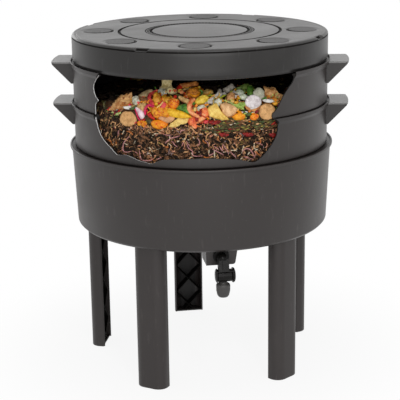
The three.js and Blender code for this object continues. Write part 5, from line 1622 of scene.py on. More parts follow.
def smooth_path(points, steps):
    """A smooth open curve through points."""
    pts = [Vector(p) for p in points]
    if len(pts) < 3:
        return [pts[0].lerp(pts[-1], k / steps) for k in range(steps + 1)]
    pts = [pts[0] * 2 - pts[1]] + pts + [pts[-1] * 2 - pts[-2]]
    out = []
    for i in range(1, len(pts) - 2):
        out += [curve_point(*pts[i - 1:i + 3], k / steps) for k in range(steps)]
    out.append(pts[-2])
    return out


# Rings of a slab's faces, as shares of its outline, and where its edge begins to round
SHARES = (1.0, 0.985, 0.95, 0.88, 0.76, 0.6, 0.42, 0.22)
EDGE_SHARE = 0.8
EDGE_ROUND = 0.2
# How uneven the slabs of some looks are, and the others
CRUMPLE = {
    "maroon_red": 1.8, "red_pink": 1.0, "white": 0.8, "pale_yellow": 0.7, "lemon_pale": 0.7, "skin": 2.4,
    "leaf": 1.6, "leaf_dark": 1.8, "leaf_light": 1.6, "orange_mush": 1.8, "orange_red": 2.0, "amber": 1.2,
    "cream_white": 1.2, "tan": 1.2, "crust": 0.8, "tomato": 0.9, "shell_brown": 1.2,
}
PLAIN_CRUMPLE = 0.35


def slab(outline, centre, tilt, thick, bulge, look, swing=0.0, steps=4):
    """A piece cut to an outline, rounded at its edge and bulging towards the viewer."""
    n, u, v = lean(tilt, swing)
    c = Vector(centre)
    rough = CRUMPLE.get(look, PLAIN_CRUMPLE)
    ragged = min(0.15, 0.035 + 0.06 * rough)
    loop = []
    for p in smooth_loop(outline, steps):
        spot = Vector((p.x, p.y, c.x))
        loop.append(p * (1 + ragged * noise.noise(spot * 0.30) + ragged * 0.7 * noise.noise(spot * 0.9)))
    count = len(loop)
    verts, faces = [], []
    for face in (1, -1):
        for share in SHARES[(0 if face > 0 else 1):]:
            edge = math.sqrt(max(0.0, 1 - max(0.0, (share - EDGE_SHARE) / EDGE_ROUND) ** 2))
            for p in loop:
                q = p * share
                wobble = noise.noise(Vector((q.x, q.y, c.x * 0.7)) * 0.13) * rough * 1.6
                wobble += noise.noise(Vector((q.x, q.y, c.y)) * 0.4) * rough * 0.5
                depth = bulge * (1 - share * share) - bulge * 0.35 + wobble + face * thick / 2 * edge
                verts.append(c + u * q.x + v * q.y + n * depth)
    rings = [list(range(k * count, (k + 1) * count)) for k in range(2 * len(SHARES) - 1)]
    front = rings[:len(SHARES)]
    back = [rings[0]] + rings[len(SHARES):]
    for side, order in ((front, 1), (back, -1)):
        for outer, inner in zip(side, side[1:]):
            for i in range(count):
                j = (i + 1) % count
                faces.append((outer[i], outer[j], inner[j], inner[i])[::order])
        inner = side[-1]
        middle = len(verts)
        verts.append(sum((verts[i] for i in inner), Vector()) / count)
        for i in range(count):
            faces.append((inner[i], inner[(i + 1) % count], middle)[::order])
    return verts, faces


def strip(points, half, flat, steps, sides, taper, facing=Vector((0, -0.96, 0.27))):
    """A peel or stem along a path: wide across the line of sight, flat along it."""
    pts = smooth_path(points, steps)
    last = len(pts) - 1
    verts, faces = [], []
    for i, p in enumerate(pts):
        along = (pts[min(i + 1, last)] - pts[max(i - 1, 0)]).normalized()
        across = along.cross(facing)
        if across.length < 1e-3:
            across = along.orthogonal()
        across.normalize()
        out = across.cross(along).normalized()
        end = min(i, last - i) / max(1.0, last * 0.3)
        r = half * (taper + (1 - taper) * min(1.0, end) ** 0.5)
        for k in range(sides):
            a = 2 * math.pi * k / sides
            verts.append(p + across * (r * math.cos(a)) + out * (r * flat * math.sin(a)))
    for i in range(last):
        for k in range(sides):
            m = (k + 1) % sides
            faces.append((i * sides + k, i * sides + m, (i + 1) * sides + m, (i + 1) * sides + k))
    for ring, beyond in ((0, pts[0] - pts[1]), (last, pts[-1] - pts[-2])):
        tip = len(verts)
        verts.append(pts[ring] + beyond.normalized() * (half * taper * 0.6))
        for k in range(sides):
            faces.append((ring * sides + k, ring * sides + (k + 1) % sides, tip))
    return verts, faces


def ball_template(level):
    bm = bmesh.new()
    bmesh.ops.create_icosphere(bm, subdivisions=level, radius=1.0)
    verts = [v.co.copy() for v in bm.verts]
    faces = [tuple(v.index for v in f.verts) for f in bm.faces]
    bm.free()
    return verts, faces


BALLS = {level: ball_template(level) for level in (1, 2)}


def lump(centre, size, rng, level, rough):
    """An irregular lump: a stretched ball with a broken surface."""
    base, faces = BALLS[level]
    turn = Matrix.Rotation(rng.uniform(0, 6.28), 3, "X") @ Matrix.Rotation(rng.uniform(0, 6.28), 3, "Z")
    shift = Vector((rng.uniform(0, 99), rng.uniform(0, 99), rng.uniform(0, 99)))
    c = Vector(centre)
    verts = []
    for p in base:
        d = 1 + rough * noise.noise(p * 1.7 + shift) * 1.6
        verts.append(c + turn @ Vector((p.x * size[0] * d, p.y * size[1] * d, p.z * size[2] * d)))
    return verts, faces


# Contents: where things lie

# Angle and height of the line below the fresh scraps on the face of the fill
FOOD_LINE = [
    (-53, 550), (-47, 548), (-42, 544), (-37.5, 531), (-33, 525.5), (-25, 531), (-18, 529), (-11, 534),
    (-5, 533), (1.7, 534), (6, 547), (12, 547), (19, 543.5), (26, 541), (31, 538), (45, 540),
]
# Looks and how often each is picked
SHRED_LOOKS = (("soil_dark", 27), ("soil_mid", 24), ("shred_brown", 24), ("shred_tan", 19), ("shred_pink", 5),
               ("shred_mauve", 2), ("shred_olive", 3), ("shred_rust", 3), ("shred_pale", 4))
ROT_LOOKS = (("soil_dark", 20), ("soil_mid", 16), ("olive_dark", 26), ("olive", 12), ("green_dark", 12),
             ("brown", 10), ("shred_tan", 3), ("maroon_red", 3), ("shred_pale", 1))
DARK_LOOKS = (("soil_dark", 60), ("soil_mid", 8), ("olive_dark", 6), ("brown", 2), ("maroon", 2))
HEAP_LOOKS = (("amber", 9), ("tan", 8), ("beige", 7), ("orange_mush", 7), ("brown", 9), ("chip", 8),
              ("olive", 5), ("leaf", 6), ("leaf_light", 3), ("pale_yellow", 5), ("cream_white", 5),
              ("tomato", 4), ("red_dark", 4), ("peel_brown", 7), ("shell_brown", 5), ("orange_brown", 6),
              ("potato", 3), ("white_grey", 4), ("stem", 3), ("maroon", 3))
# Angles between which shreds and clods lie on the faces of the compost and of the rotted layer
FACE_FROM = -54
COMPOST_TO = 42
ROTTED_TO = 44
# Foot and radius of the compost's face; foot of the rotted layer's, and the radius of its back
COMPOST_FOOT = 459.5
COMPOST_REACH = 247.8
ROTTED_FOOT = 520.9
ROTTED_BACK = 238.0
# Radii about which the faces' shreds and clods lie, and within which the shreds on top lie
FACE_REACH = 246.6
ROTTED_SHRED_REACH = 246.8
COMPOST_CLOD_REACH = 245.4
ROTTED_CLOD_REACH = 245.6
TOP_REACH = 238
ROTTED_TOP_REACH = 234
# Heights between which the compost's shreds and clods lie, and how deep and high their ends go
COMPOST_SHRED_HEIGHTS = (461, 519.5)
COMPOST_CLOD_HEIGHTS = (462, 517)
COMPOST_END_HEIGHTS = (460, 520.6)
# The rotted layer: the lowest of its shreds and clods, and its face's first angle and sweep
ROTTED_SHREDS_LOW = 519.8
ROTTED_CLODS_LOW = 523.5
ROTTED_LOOKS_LOW = 524
ROTTED_FROM = -53.5
ROTTED_SWEEP = 97.5
# Left of this angle the rotted face is dark by this share
DARK_TO = -34
DARK_SHARE = 0.45
# About this angle the rotted face turns from shreds to level layers, and they lean by this much
LAYERS_FROM = 3
LAYER_LEAN = 0.35
# Above these heights a scrap and a worm belong to the upper tray
COMPOST_TOP = 520.0
HIGH_WORM = 519.5
# Between these heights the heap's bed is stretched to the heap's level; inside this radius its top is
# broken up
BED_LOW = 542.6
BED_HIGH = 560.0
BED_SKIN = 242.9
# Tops of the two level beds, and the levels of the shreds on them
COMPOST_LEVEL = 519.2
COMPOST_LITTER = 517.9
ROTTED_LEVEL = 541.3
ROTTED_LITTER = 540.6
# How many small bodies each part of the contents has
COMPOST_SHREDS = 2900
COMPOST_CLODS = 420
COMPOST_TOP_SHREDS = 2600
ROTTED_SHREDS = 1500
ROTTED_CLODS = 330
ROTTED_TOP_SHREDS = 500
CRUMB_COUNT = 760
FILLER_COUNT = 950
# Crumbs are flakes, then shavings, then lumps; the filling is lumps, then slices, then shreds: the
# shares up to which each kind goes
FLAKES_TO = 0.45
SHAVINGS_TO = 0.8
FILLER_LUMPS_TO = 0.45
FILLER_SLICES_TO = 0.75


def line_level(line, at):
    """Second value of a line of points where the first has a given value; level beyond its ends."""
    if at <= line[0][0]:
        return line[0][1]
    for (x0, y0), (x1, y1) in zip(line, line[1:]):
        if at <= x1:
            return y0 + (y1 - y0) * (at - x0) / (x1 - x0)
    return line[-1][1]


def food_line(angle):
    return line_level(FOOD_LINE, angle)


def pick(rng, looks):
    x = rng.uniform(0, sum(w for _, w in looks))
    for name, w in looks:
        x -= w
        if x <= 0:
            return name
    return looks[-1][0]


def anywhere(rng, reach):
    """A random place within a radius, evenly spread."""
    angle = rng.uniform(0, 360)
    return polar(angle, reach * math.sqrt(rng.random()))


def crumbly(p):
    """How far the surface of loose matter lies back at a point, as a share."""
    return 0.5 + 0.5 * (noise.noise(p * 0.09) * 0.9 + noise.noise(p * 0.3) * 0.5)


def ragged_outline(rng, size, count, wide, tall):
    """An uneven closed outline of a few corners."""
    turns = [2 * math.pi * k / count for k in range(count)]
    return [(size * rng.uniform(*wide) * math.cos(a), size * rng.uniform(*tall) * math.sin(a)) for a in turns]


def steps_between(a, b, count):
    return [a + (b - a) * k / count for k in range(1, count)]


def curl(size, way, bend):
    """Four places along a curled shred, each with its share of the way along."""
    for k in range(4):
        share = k / 3 - 0.5
        turn = way + bend * share
        yield share, size * share * math.cos(turn), size * share * math.sin(turn)


def wall_shred(rng, angle, height, reach, low, high, length, wide, level=None):
    """A shred lying on the face of the fill, its ends dipping in; level is how far it leans from level."""
    size = rng.uniform(*length)
    way = rng.uniform(0, math.pi) if level is None else rng.gauss(0.0, level)
    pts = []
    for share, x, z in curl(size, way, rng.uniform(-1.4, 1.4)):
        r = reach - 1.6 * abs(share) * 2 + rng.uniform(-0.6, 0.6)
        pts.append(polar(angle + math.degrees(x / reach), r, min(high, max(low, height + z))))
    facing = polar(angle, 1.0, 0.25)
    return strip(pts, rng.uniform(*wide), rng.uniform(0.35, 0.8), 2, 5, 0.3, facing)


def top_shred(rng, p, level, length=(8, 26), wide=(0.6, 1.5)):
    """A shred lying on a surface, given as a function that says its height."""
    size = rng.uniform(*length)
    way = rng.uniform(0, 2 * math.pi)
    pts = []
    for _, dx, dy in curl(size, way, rng.uniform(-1.5, 1.5)):
        x, y = p.x + dx, p.y + dy
        pts.append(Vector((x, y, level(x, y) + rng.uniform(-0.8, 0.8))))
    return strip(pts, rng.uniform(*wide), rng.uniform(0.3, 0.6), 2, 5, 0.3, Vector((0, 0, 1)))


def bed(name, profile, amplitude, look, body, node_name, top=None, level=None):
    """A body of loose matter: a turned profile with a broken surface, level or heaped."""
    bm = lathe_solid(profile, 288, 2)
    for v in bm.verts:
        r = flat_radius(v.co)
        if level is not None and v.co.z > BED_LOW:
            share = min(1.0, (v.co.z - BED_LOW) / (BED_HIGH - BED_LOW))
            v.co.z = BED_LOW + (max(BED_LOW + 0.6, level(v.co.x, v.co.y)) - BED_LOW) * share
        if r < 1:
            continue
        back = amplitude * crumbly(v.co)
        if level is not None and r < BED_SKIN and v.co.z > BED_LOW + 0.3:
            v.co.z = max(BED_LOW + 0.3, v.co.z - back)
        elif top is not None and v.co.z > top - 0.5:
            v.co.z = min(v.co.z, top) - back
        elif r > 200:
            k = 1 - back / r
            v.co.x *= k
            v.co.y *= k
    obj = finish_mesh(bm, name, [food_material(look)], body, 70)
    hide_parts(node_name)


# Compost

def compost_profile():
    reach = COMPOST_REACH
    radii = (240, 234, 228, 222, 214, 206, 198, 188, 176, 162, 146, 128, 108, 86, 62, 36, 0.0)
    profile = [(r, 440.7) for r in (0.0, 60, 120, 180, 242.3)]
    profile += [(242.3, 446), (242.3, 452), (244, 457), (reach, COMPOST_FOOT)]
    profile += [(reach, z) for z in steps_between(COMPOST_FOOT, 518.5, 30)]
    profile += [(247.6, 518.0), (246.0, COMPOST_LEVEL)]
    return profile + [(r, COMPOST_LEVEL + 0.1) for r in radii]


def make_compost():
    rng = random.Random(11)
    bed("compost_bed", compost_profile(), 3.2, "soil_dark", "lower_tray", "compost",
        top=COMPOST_LEVEL)
    pile = Pile()
    for _ in range(COMPOST_SHREDS):
        angle = rng.uniform(FACE_FROM, COMPOST_TO)
        z = rng.uniform(*COMPOST_SHRED_HEIGHTS)
        look = pick(rng, SHRED_LOOKS)
        wide = (0.9, 2.3) if look.startswith("soil") else (0.6, 1.6)
        reach = FACE_REACH + rng.uniform(-2.6, 0.9)
        pile.add(*wall_shred(rng, angle, z, reach, *COMPOST_END_HEIGHTS, (8, 27), wide), look)
    for _ in range(COMPOST_CLODS):
        angle = rng.uniform(FACE_FROM, COMPOST_TO)
        p = polar(angle, COMPOST_CLOD_REACH, rng.uniform(*COMPOST_CLOD_HEIGHTS))
        s = rng.uniform(1.2, 3.4)
        pile.add(*lump(p, (s * 1.5, s, s * 0.8), rng, 1, 0.4), pick(rng, SHRED_LOOKS[:3]))
    for _ in range(COMPOST_TOP_SHREDS):
        p = anywhere(rng, TOP_REACH)
        pile.add(*top_shred(rng, p, lambda x, y: COMPOST_LITTER), pick(rng, SHRED_LOOKS))
    pile.build("compost_shreds", "lower_tray", "compost")


# Worms

WORM_SHARE = 0.68


def worm_body(rng, half, places):
    """A worm along places on the face of the fill."""
    path = [polar(angle_of(p), 248.0 - half * 0.4 + rng.uniform(-0.3, 0.3), p.z) for p in places]
    return strip(path, half, 0.95, 7, 10, 0.35, polar(angle_of(places[0]), 1.0, 0.2))


def make_worms():
    """The four worms that stand for solids, and the small ones on each tray's contents."""
    low, high = Pile(), Pile()
    rng = random.Random(3)
    for name, half, pixels in WORMS:
        places = [wall_hit(px, py, COMPOST_REACH) for px, py in pixels]
        body = worm_body(rng, half * WORM_SHARE, places)
        if name.startswith("worm_"):
            own = Pile()
            own.add(*body, "worm")
            own.build(name + "_body", "lower_tray", "worm", [name])
        else:
            above = min(p.z for p in places) > HIGH_WORM
            (high if above else low).add(*body, "worm")
    low.build("worms_small", "lower_tray", "worm")
    if high.verts:
        high.build("worms_high", "upper_tray", "worm")


# Rotted layer

def make_rotted_face(columns=150, rows=14):
    """The layer's broken face behind the window, up to just above the line of the fresh scraps."""
    grid = []
    for i in range(columns + 1):
        angle = ROTTED_FROM + ROTTED_SWEEP * i / columns
        head = food_line(angle) + 6
        line = []
        for j in range(rows + 1):
            z = ROTTED_FOOT + (head - ROTTED_FOOT) * j / rows
            line.append(polar(angle, FACE_REACH - 3.0 * crumbly(polar(angle, FOOD_REACH, z)), z))
        line += [polar(angle, ROTTED_BACK, head), polar(angle, ROTTED_BACK, ROTTED_FOOT)]
        grid.append(line)
    obj = finish_mesh(body_of(grid), "rotted_face", [food_material("soil_dark")], "upper_tray", 70)


def rotted_profile():
    profile = [(r, 523.4) for r in (0.0, 60, 120, 180, 236.5)]
    profile += [(241.8, 523.4), (242.0, 528), (242.0, 536), (242.0, 541)]
    return profile + [(r, ROTTED_LEVEL) for r in (236, 228, 214, 198, 176, 146, 108, 62, 0.0)]


def rotted_clod(rng):
    """A clod on the face, flattened along the wall, to the right of the middle."""
    angle = rng.uniform(2, ROTTED_TO)
    p = polar(angle, ROTTED_CLOD_REACH, rng.uniform(ROTTED_CLODS_LOW, food_line(angle) - 1))
    s = rng.uniform(1.4, 3.6)
    verts, faces = lump((0, 0, 0), (1, 1, 1), rng, 1, 0.5)
    side = polar(angle + 90, 1.0)
    out = polar(angle, 1.0)
    verts = [p + side * (v.x * s * 2.2) + out * (v.y * 2.2) + Vector((0, 0, v.z * s * 0.8)) for v in verts]
    return verts, faces


def make_rotted():
    rng = random.Random(21)
    bed("rotted_bed", rotted_profile(), 2.0, "soil_dark", "upper_tray", "rotted_layer",
        top=ROTTED_LEVEL)
    make_rotted_face()
    pile = Pile()
    low = ROTTED_SHREDS_LOW
    for _ in range(ROTTED_SHREDS):
        angle = rng.uniform(FACE_FROM, ROTTED_TO)
        top = food_line(angle) + 1.5
        z = low + (top - low) * rng.random()
        right = angle > LAYERS_FROM + rng.uniform(-5, 5)
        looks = ROT_LOOKS if right and z > ROTTED_LOOKS_LOW else SHRED_LOOKS
        if angle < DARK_TO and rng.random() < DARK_SHARE:
            looks = DARK_LOOKS
        reach = ROTTED_SHRED_REACH + rng.uniform(-1.4, 0.8)
        level = LAYER_LEAN if right else None
        body = wall_shred(rng, angle, z, reach, low, top + 3, (6, 22), (0.6, 1.5), level)
        pile.add(*body, pick(rng, looks))
    for _ in range(ROTTED_CLODS):
        pile.add(*rotted_clod(rng), pick(rng, ROT_LOOKS))
    for _ in range(ROTTED_TOP_SHREDS):
        p = anywhere(rng, ROTTED_TOP_REACH)
        pile.add(*top_shred(rng, p, lambda x, y: ROTTED_LITTER), pick(rng, ROT_LOOKS))
    pile.build("rotted_shreds", "upper_tray", "rotted")


# Heap of scraps

# Scraps that stand for a solid: the node and the slot
SCRAP_NODES = {
    "skin_left": ("scrap_eggshell_left", "scrap_eggshell"),
    "potato_left": ("scrap_potato_slice_left", "scrap_potato"),
    "red_strip": ("scrap_red_peel", "scrap_red_peel"),
    "pink_wedge": ("scrap_onion_wedge", "scrap_onion"),
    "carrot_front": ("scrap_carrot_piece", "scrap_carrot"),
    "yellow_peel": ("scrap_banana_peel", "scrap_banana"),
    "stalk_slab": ("scrap_stalk", "scrap_stalk"),
    "crust_slab": ("scrap_bread_crust", "scrap_bread"),
    "tomato_side": ("scrap_tomato", "scrap_tomato"),
    "lemon_wedge": ("scrap_lemon_wedge", "scrap_lemon"),
    "mushroom_shell": ("scrap_eggshell_middle", "scrap_eggshell"),
    "leaf_top": ("scrap_leek_leaf", "scrap_leaf"),
    "cucumber_disc": ("scrap_cucumber_slice", "scrap_cucumber"),
    "turnip_disc": ("scrap_turnip_slice", "scrap_turnip"),
    "dice_a": ("scrap_diced_carrot", "scrap_carrot"),
    "potato_right": ("scrap_potato_slice_right", "scrap_potato"),
    "skin_right": ("scrap_eggshell_right", "scrap_eggshell"),
}
# Upper and lower edge of the scraps in the photograph
SKYLINE = [
    (100, 113), (106, 110), (110, 103), (117, 96), (122, 91), (132, 90), (142, 90), (152, 87), (158, 82),
    (166, 80), (173, 83), (178, 85), (190, 80), (199, 83), (206, 89), (222, 90), (232, 82), (240, 82),
    (252, 84), (262, 88), (270, 87), (280, 94), (285, 99),
]
SCRAP_FOOT = [
    (100, 112), (112, 114), (118, 119), (128, 126), (135, 127), (150, 129), (160, 131), (170, 128),
    (190, 129), (197, 131), (203, 124), (212, 122), (226, 120), (250, 122), (262, 120), (280, 112),
]
# Looks of the crumbs, from left to right: the pixel to which each set reaches
CRUMB_ZONES = [
    (126, (("maroon", 3), ("stem", 2), ("brown", 3), ("beige", 3), ("peel_brown", 3), ("red_dark", 2),
           ("white", 1))),
    (147, (("red_pink", 4), ("red", 4), ("magenta", 2), ("white", 2), ("beige", 4), ("amber", 3),
           ("orange", 3), ("cream_white", 2), ("leaf", 1))),
    (178, (("orange_mush", 6), ("orange_bright", 5), ("red", 5), ("amber", 5), ("yellow", 4), ("lemon", 2),
           ("magenta", 1), ("leaf", 2), ("cream_white", 1))),
    (207, (("amber", 4), ("lemon", 3), ("orange_bright", 4), ("red", 4), ("tomato", 4), ("salmon", 3),
           ("leaf", 2), ("pale_yellow", 2), ("red_dark", 3))),
    (240, (("cream_white", 4), ("white_grey", 4), ("lime", 3), ("pale_yellow", 4), ("orange", 4),
           ("amber", 3), ("leaf_light", 2), ("shell_brown", 2), ("white", 1))),
    (300, (("pale_green_white", 4), ("leaf_light", 4), ("leaf", 3), ("orange", 4), ("orange_bright", 3),
           ("rind", 3), ("amber", 3), ("white", 2), ("maroon_red", 2), ("skin", 2))),
]
# Places that large scraps fill, with no crumbs in front of them: across, down, reach in pixels
CLEAR_PLACES = [
    (128.4, 118.6, 11), (266.9, 111.6, 11), (253, 101.7, 10), (184, 108.5, 7), (216, 112, 8), (228, 110, 8),
    (174, 113, 6), (184, 114.5, 6), (159.5, 124.5, 8), (121, 101, 9), (180, 121, 7), (237, 117, 6),
    (202, 99.5, 6), (139.5, 112.5, 6), (166.5, 119, 6), (245, 97, 5), (259, 94, 6), (243, 87, 6),
    (166, 84, 6),
]
# The heap's loose filling is drawn in to this radius, over the last few mm, and lies above this level
FILLER_LIMIT = 242.5
FILLER_EASE = 6.0
FILLER_FOOT = 543.0
# How far its pieces sink below the heap's level, where the window shows them and elsewhere
FRONT_SINK = 9.5
BACK_SINK = 1.5
# Columns of the photograph between which scraps show, and those between which crumbs are strewn
SEEN_COLUMNS = (110, 283)
CRUMB_COLUMNS = (108, 281)
# The bed below the heap's scraps lies this far under the heap's level, with this outer radius
BED_SINK = 7.5
BED_REACH = 243.0
BED_UNDER = 541.9


def crumb(rng, centre, look, small):
    """One small bit: a flake, a shaving or a lump."""
    kind = rng.random()
    if kind < FLAKES_TO:
        count = rng.randint(5, 7)
        outline = ragged_outline(rng, rng.uniform(2.4, 5.6) * small, count, (0.5, 1.2), (0.4, 1.0))
        return slab(outline, centre, rng.uniform(5, 60), rng.uniform(1.0, 2.6), rng.uniform(0.2, 1.4), look,
                    rng.uniform(-50, 50), steps=2)
    if kind < SHAVINGS_TO:
        turn = rng.uniform(0, math.pi)
        reach = rng.uniform(4.0, 10.0) * small
        bend = rng.uniform(-1.2, 1.2)
        pts = []
        for share in (-1.0, -0.35, 0.35, 1.0):
            a = turn + bend * share
            step = Vector((math.cos(a), 0.0, math.sin(a))) * (reach * share)
            pts.append(centre + step + Vector((0, rng.uniform(-1, 1), 0)))
        return strip(pts, rng.uniform(0.8, 1.9) * small, rng.uniform(0.4, 0.9), 2, 6, 0.4)
    s = rng.uniform(1.6, 3.6) * small
    return lump(centre, (s * rng.uniform(1.0, 1.6), s, s * rng.uniform(0.6, 1.0)), rng, 2, 0.5)


def make_crumbs():
    """Small bits, gratings and drips wedged between the larger scraps."""
    rng = random.Random(17)
    pile = Pile()
    for _ in range(CRUMB_COUNT):
        px = rng.uniform(*CRUMB_COLUMNS)
        py = rng.uniform(line_level(SKYLINE, px) + 5, line_level(SCRAP_FOOT, px) - 1)
        if any(math.hypot(px - x, py - y) < reach for x, y, reach in CLEAR_PLACES):
            continue
        line = sight_line(px, py)
        rest = heap_hit(px, py)
        if rest is None:
            continue
        toward = rng.uniform(1.0, 7.5) if rng.random() < 0.95 else rng.uniform(8.0, 11.0)
        centre = settle(rest - line * toward, line)
        looks = next(z for edge, z in CRUMB_ZONES if px + rng.uniform(-5, 5) < edge)
        look = pick(rng, looks)
        pile.add(*crumb(rng, centre, look, 0.62 if toward > 8.5 else 1.0), look)
    pile.build("scraps_crumbs", "upper_tray", "scraps")


def add_scrap(loose, name, look, body):
    """A scrap that stands for a solid is its own piece; the others lie together."""
    if name not in SCRAP_NODES:
        loose.add(*body, look)
        return
    node_name, slot = SCRAP_NODES[name]
    own = Pile()
    own.add(*body, look)
    own.build(name, "upper_tray", slot, [node_name])


def make_heap_bed():
    radii = [241, 236, 230, 223, 214, 204, 192, 178, 162, 144, 122, 96, 66, 34, 0.0]
    profile = [(r, BED_UNDER) for r in (0.0, 80, 160, 236)]
    profile += [(241, BED_UNDER + 0.2), (BED_REACH, BED_LOW)]
    profile += [(BED_REACH, z) for z in steps_between(BED_LOW, BED_HIGH, 4)]
    profile.append((BED_REACH, BED_HIGH))
    profile += [(r, BED_HIGH) for r in radii]
    bed("heap_bed", profile, 3.5, "soil_mid", "upper_tray", "scrap_heap",
        level=lambda x, y: heap_level(x, y) - BED_SINK)


def make_scraps():
    """What the window shows of the scraps, and the dark berries low on its face."""
    loose, sunk = Pile(), Pile()
    for name, look, tilt, toward, thick, bulge, pixels in SLABS:
        anchor = STALK_ANCHOR if name == "stalk_slab" else None
        centre, outline, swing = place_outline(pixels, tilt, toward, anchor)
        if toward == AT_WALL:
            centre = wall_hit(*mean_pixel(pixels), FACE_REACH)
        body = slab(outline, centre, tilt, thick, bulge, look, swing)
        add_scrap(sunk if centre.z < COMPOST_TOP else loose, name, look, body)
    sunk.build("berries_in_compost", "lower_tray", "compost")
    for name, look, toward, half, flat, pixels in STRIPS:
        add_scrap(loose, name, look, strip(place_path(pixels, toward), half, flat, 5, 10, 0.5))
    loose.build("scraps_front", "upper_tray", "scraps")


def filler_body(rng, p, sink, look):
    """One piece of the heap's filling: a lump, a slice that lies with the slope, or a shred."""
    kind = rng.random()
    if kind < FILLER_LUMPS_TO:
        s = rng.uniform(3.0, 7.5)
        return lump(p, (s * rng.uniform(1.0, 1.8), s, s * rng.uniform(0.5, 0.8)), rng, 2, 0.4)
    if kind < FILLER_SLICES_TO:
        count = rng.randint(6, 9)
        outline = ragged_outline(rng, rng.uniform(6, 15), count, (0.65, 1.1), (0.45, 0.9))
        rise = heap_level(p.x, p.y + 4) - heap_level(p.x, p.y - 4)
        slope = math.degrees(math.atan2(abs(rise), 8))
        return slab(outline, p, 90 - slope + rng.uniform(-18, 18), rng.uniform(1.6, 5.0),
                    rng.uniform(0.5, 3.5), look, (0 if rise > 0 else 180) + rng.uniform(-40, 40), steps=2)
    lift = rng.uniform(0.5, 2.5) - sink + 1.5
    return top_shred(rng, p, lambda x, y: heap_level(x, y) + lift, (14, 42), (1.2, 3.2))


def drawn_in(v):
    """A corner of the filling, eased in from the tray's wall and up from its floor."""
    r = flat_radius(v)
    inner = FILLER_LIMIT - FILLER_EASE
    k = 1.0
    if r > inner:
        k = (inner + FILLER_EASE * (1 - math.exp((inner - r) / FILLER_EASE))) / r
    return Vector((v[0] * k, v[1] * k, max(v[2], FILLER_FOOT)))


def make_filler():
    """Loose filling all over the heap, dark where the photograph doesn't show it."""
    rng = random.Random(8)
    filler = Pile()
    for _ in range(FILLER_COUNT):
        p = anywhere(rng, TOP_REACH)
        level = heap_level(p.x, p.y)
        front = -p.y > 95 and abs(p.x) < 0.95 * -p.y + 60
        px, py = pixel_of(Vector((p.x, p.y, level)))
        seen = SEEN_COLUMNS[0] <= px <= SEEN_COLUMNS[1] and py >= line_level(SKYLINE, px) + 3
        look = pick(rng, HEAP_LOOKS if seen or p.y >= 170 else DARK_LOOKS)
        sink = FRONT_SINK if front else BACK_SINK
        p.z = level - sink
        filler.add(*filler_body(rng, p, sink, look), look)
    filler.verts = [drawn_in(v) for v in filler.verts]
    filler.build("scraps_filler", "upper_tray", "scraps")


make_lid()
make_tray("upper_tray", UPPER)
make_tray("lower_tray", LOWER)
make_collector()
for leg_number in range(LEG_COUNT):
    make_leg(leg_number)
make_tap()
make_tap_lever()
carry_over()
make_compost()
make_worms()
make_rotted()
make_heap_bed()
make_scraps()
make_crumbs()
make_filler()


# Camera

def aim_camera():
    data = bpy.data.cameras.new("camera")
    data.sensor_width = 36.0
    data.sensor_fit = "HORIZONTAL"
    data.lens = FOCAL_PIXELS / FRAME_PIXELS * data.sensor_width
    data.clip_start = 0.05
    data.clip_end = 60.0
    camera = bpy.data.objects.new("camera", data)
    columns = (CAMERA_RIGHT, CAMERA_UP, -CAMERA_AHEAD, [v * MM for v in EYE])
    camera.matrix_world = Matrix([[c[row] for c in columns] for row in range(3)] + [[0, 0, 0, 1]])
    scene.collection.objects.link(camera)
    scene.camera = camera


# Floor, world and lights

# Share of plain white in the floor below the object, and the distances in m over which it becomes 1
FLOOR_GLOW = 0.9
SHADE_REACH = (0.22, 0.62)
FLOOR_RADIUS = 9.0
FLOOR_SIDES = 96
FLOOR_DROP = 0.0005
ROOM_LIGHT = 0.36


def seen_or_mirrored(tree):
    """1 for camera, glossy and transmission rays, so that mirrors show the white background too."""
    rays = node(tree, "ShaderNodeLightPath").outputs
    mirrored = maths(tree, "MAXIMUM", rays["Is Glossy Ray"], rays["Is Transmission Ray"])
    return maths(tree, "MAXIMUM", rays["Is Camera Ray"], mirrored)


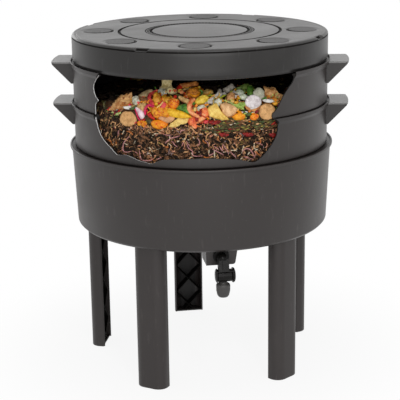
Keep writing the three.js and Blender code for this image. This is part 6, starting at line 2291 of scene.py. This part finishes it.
def floor_material():
    """White that hides the floor's edge and keeps a soft shade below the object."""
    mat, tree, bsdf = new_material("floor_white")
    coords = place_coords(tree)
    tone = mix_colour(tree, noise_fac(tree, coords, 3.0, 2.0), (0.80, 0.80, 0.80), (0.83, 0.83, 0.83))
    set_surface(tree, bsdf, tone, 0.9, 0.1)
    glow = node(tree, "ShaderNodeEmission", Color=(1, 1, 1, 1), Strength=1.0)
    white_share = spread(tree, length_of(tree, coords), SHADE_REACH, (FLOOR_GLOW, 1.0), "SMOOTHSTEP")
    share = maths(tree, "MULTIPLY", white_share, seen_or_mirrored(tree))
    both = mix_shaders(tree, share, bsdf.outputs["BSDF"], glow.outputs["Emission"])
    feed(tree, tree.nodes["Material Output"].inputs["Surface"], both)
    return mat


def make_floor():
    bm = bmesh.new()
    turns = [2 * math.pi * k / FLOOR_SIDES for k in range(FLOOR_SIDES)]
    bm.faces.new([bm.verts.new((x, y, -FLOOR_DROP)) for x, y in arc(0.0, 0.0, FLOOR_RADIUS, turns)])
    floor = as_object(bm, "floor")
    floor.data.materials.append(floor_material())


def make_world():
    """A grey room for its light on the object, and plain white where it is seen."""
    world = bpy.data.worlds.new("studio")
    scene.world = world
    world.use_nodes = True
    tree = world.node_tree
    room = tree.nodes["Background"]
    room.inputs["Color"].default_value = (1.0, 1.0, 1.0, 1.0)
    room.inputs["Strength"].default_value = ROOM_LIGHT
    white = node(tree, "ShaderNodeBackground", Color=(1, 1, 1, 1), Strength=1.0)
    both = mix_shaders(tree, seen_or_mirrored(tree), room.outputs["Background"], white.outputs["Background"])
    feed(tree, tree.nodes["World Output"].inputs["Surface"], both)


def softbox(name, place, target, size, power):
    """A rectangular lamp, in metres and watts, that faces a target."""
    data = bpy.data.lights.new(name, "AREA")
    data.shape = "RECTANGLE"
    data.size, data.size_y = size
    data.energy = power
    lamp = bpy.data.objects.new(name, data)
    lamp.location = place
    lamp.rotation_euler = (Vector(target) - Vector(place)).to_track_quat("-Z", "Y").to_euler()
    scene.collection.objects.link(lamp)


aim_camera()
make_floor()
make_world()
softbox("top_softbox", (0.0, -0.2, 2.7), (0, 0, 0.6), (2.2, 1.6), 14)
softbox("key_softbox", (0.5, -1.9, 2.2), (0, -0.2, 0.55), (0.35, 0.35), 13)
softbox("back_left_softbox", (-1.5, 2.6, 1.1), (0, 0, 0.65), (1.6, 0.8), 9)
softbox("front_softbox", (0.2, -3.2, 0.9), (0, 0, 0.5), (2.8, 1.2), 32)
scene.view_settings.view_transform = "Standard"
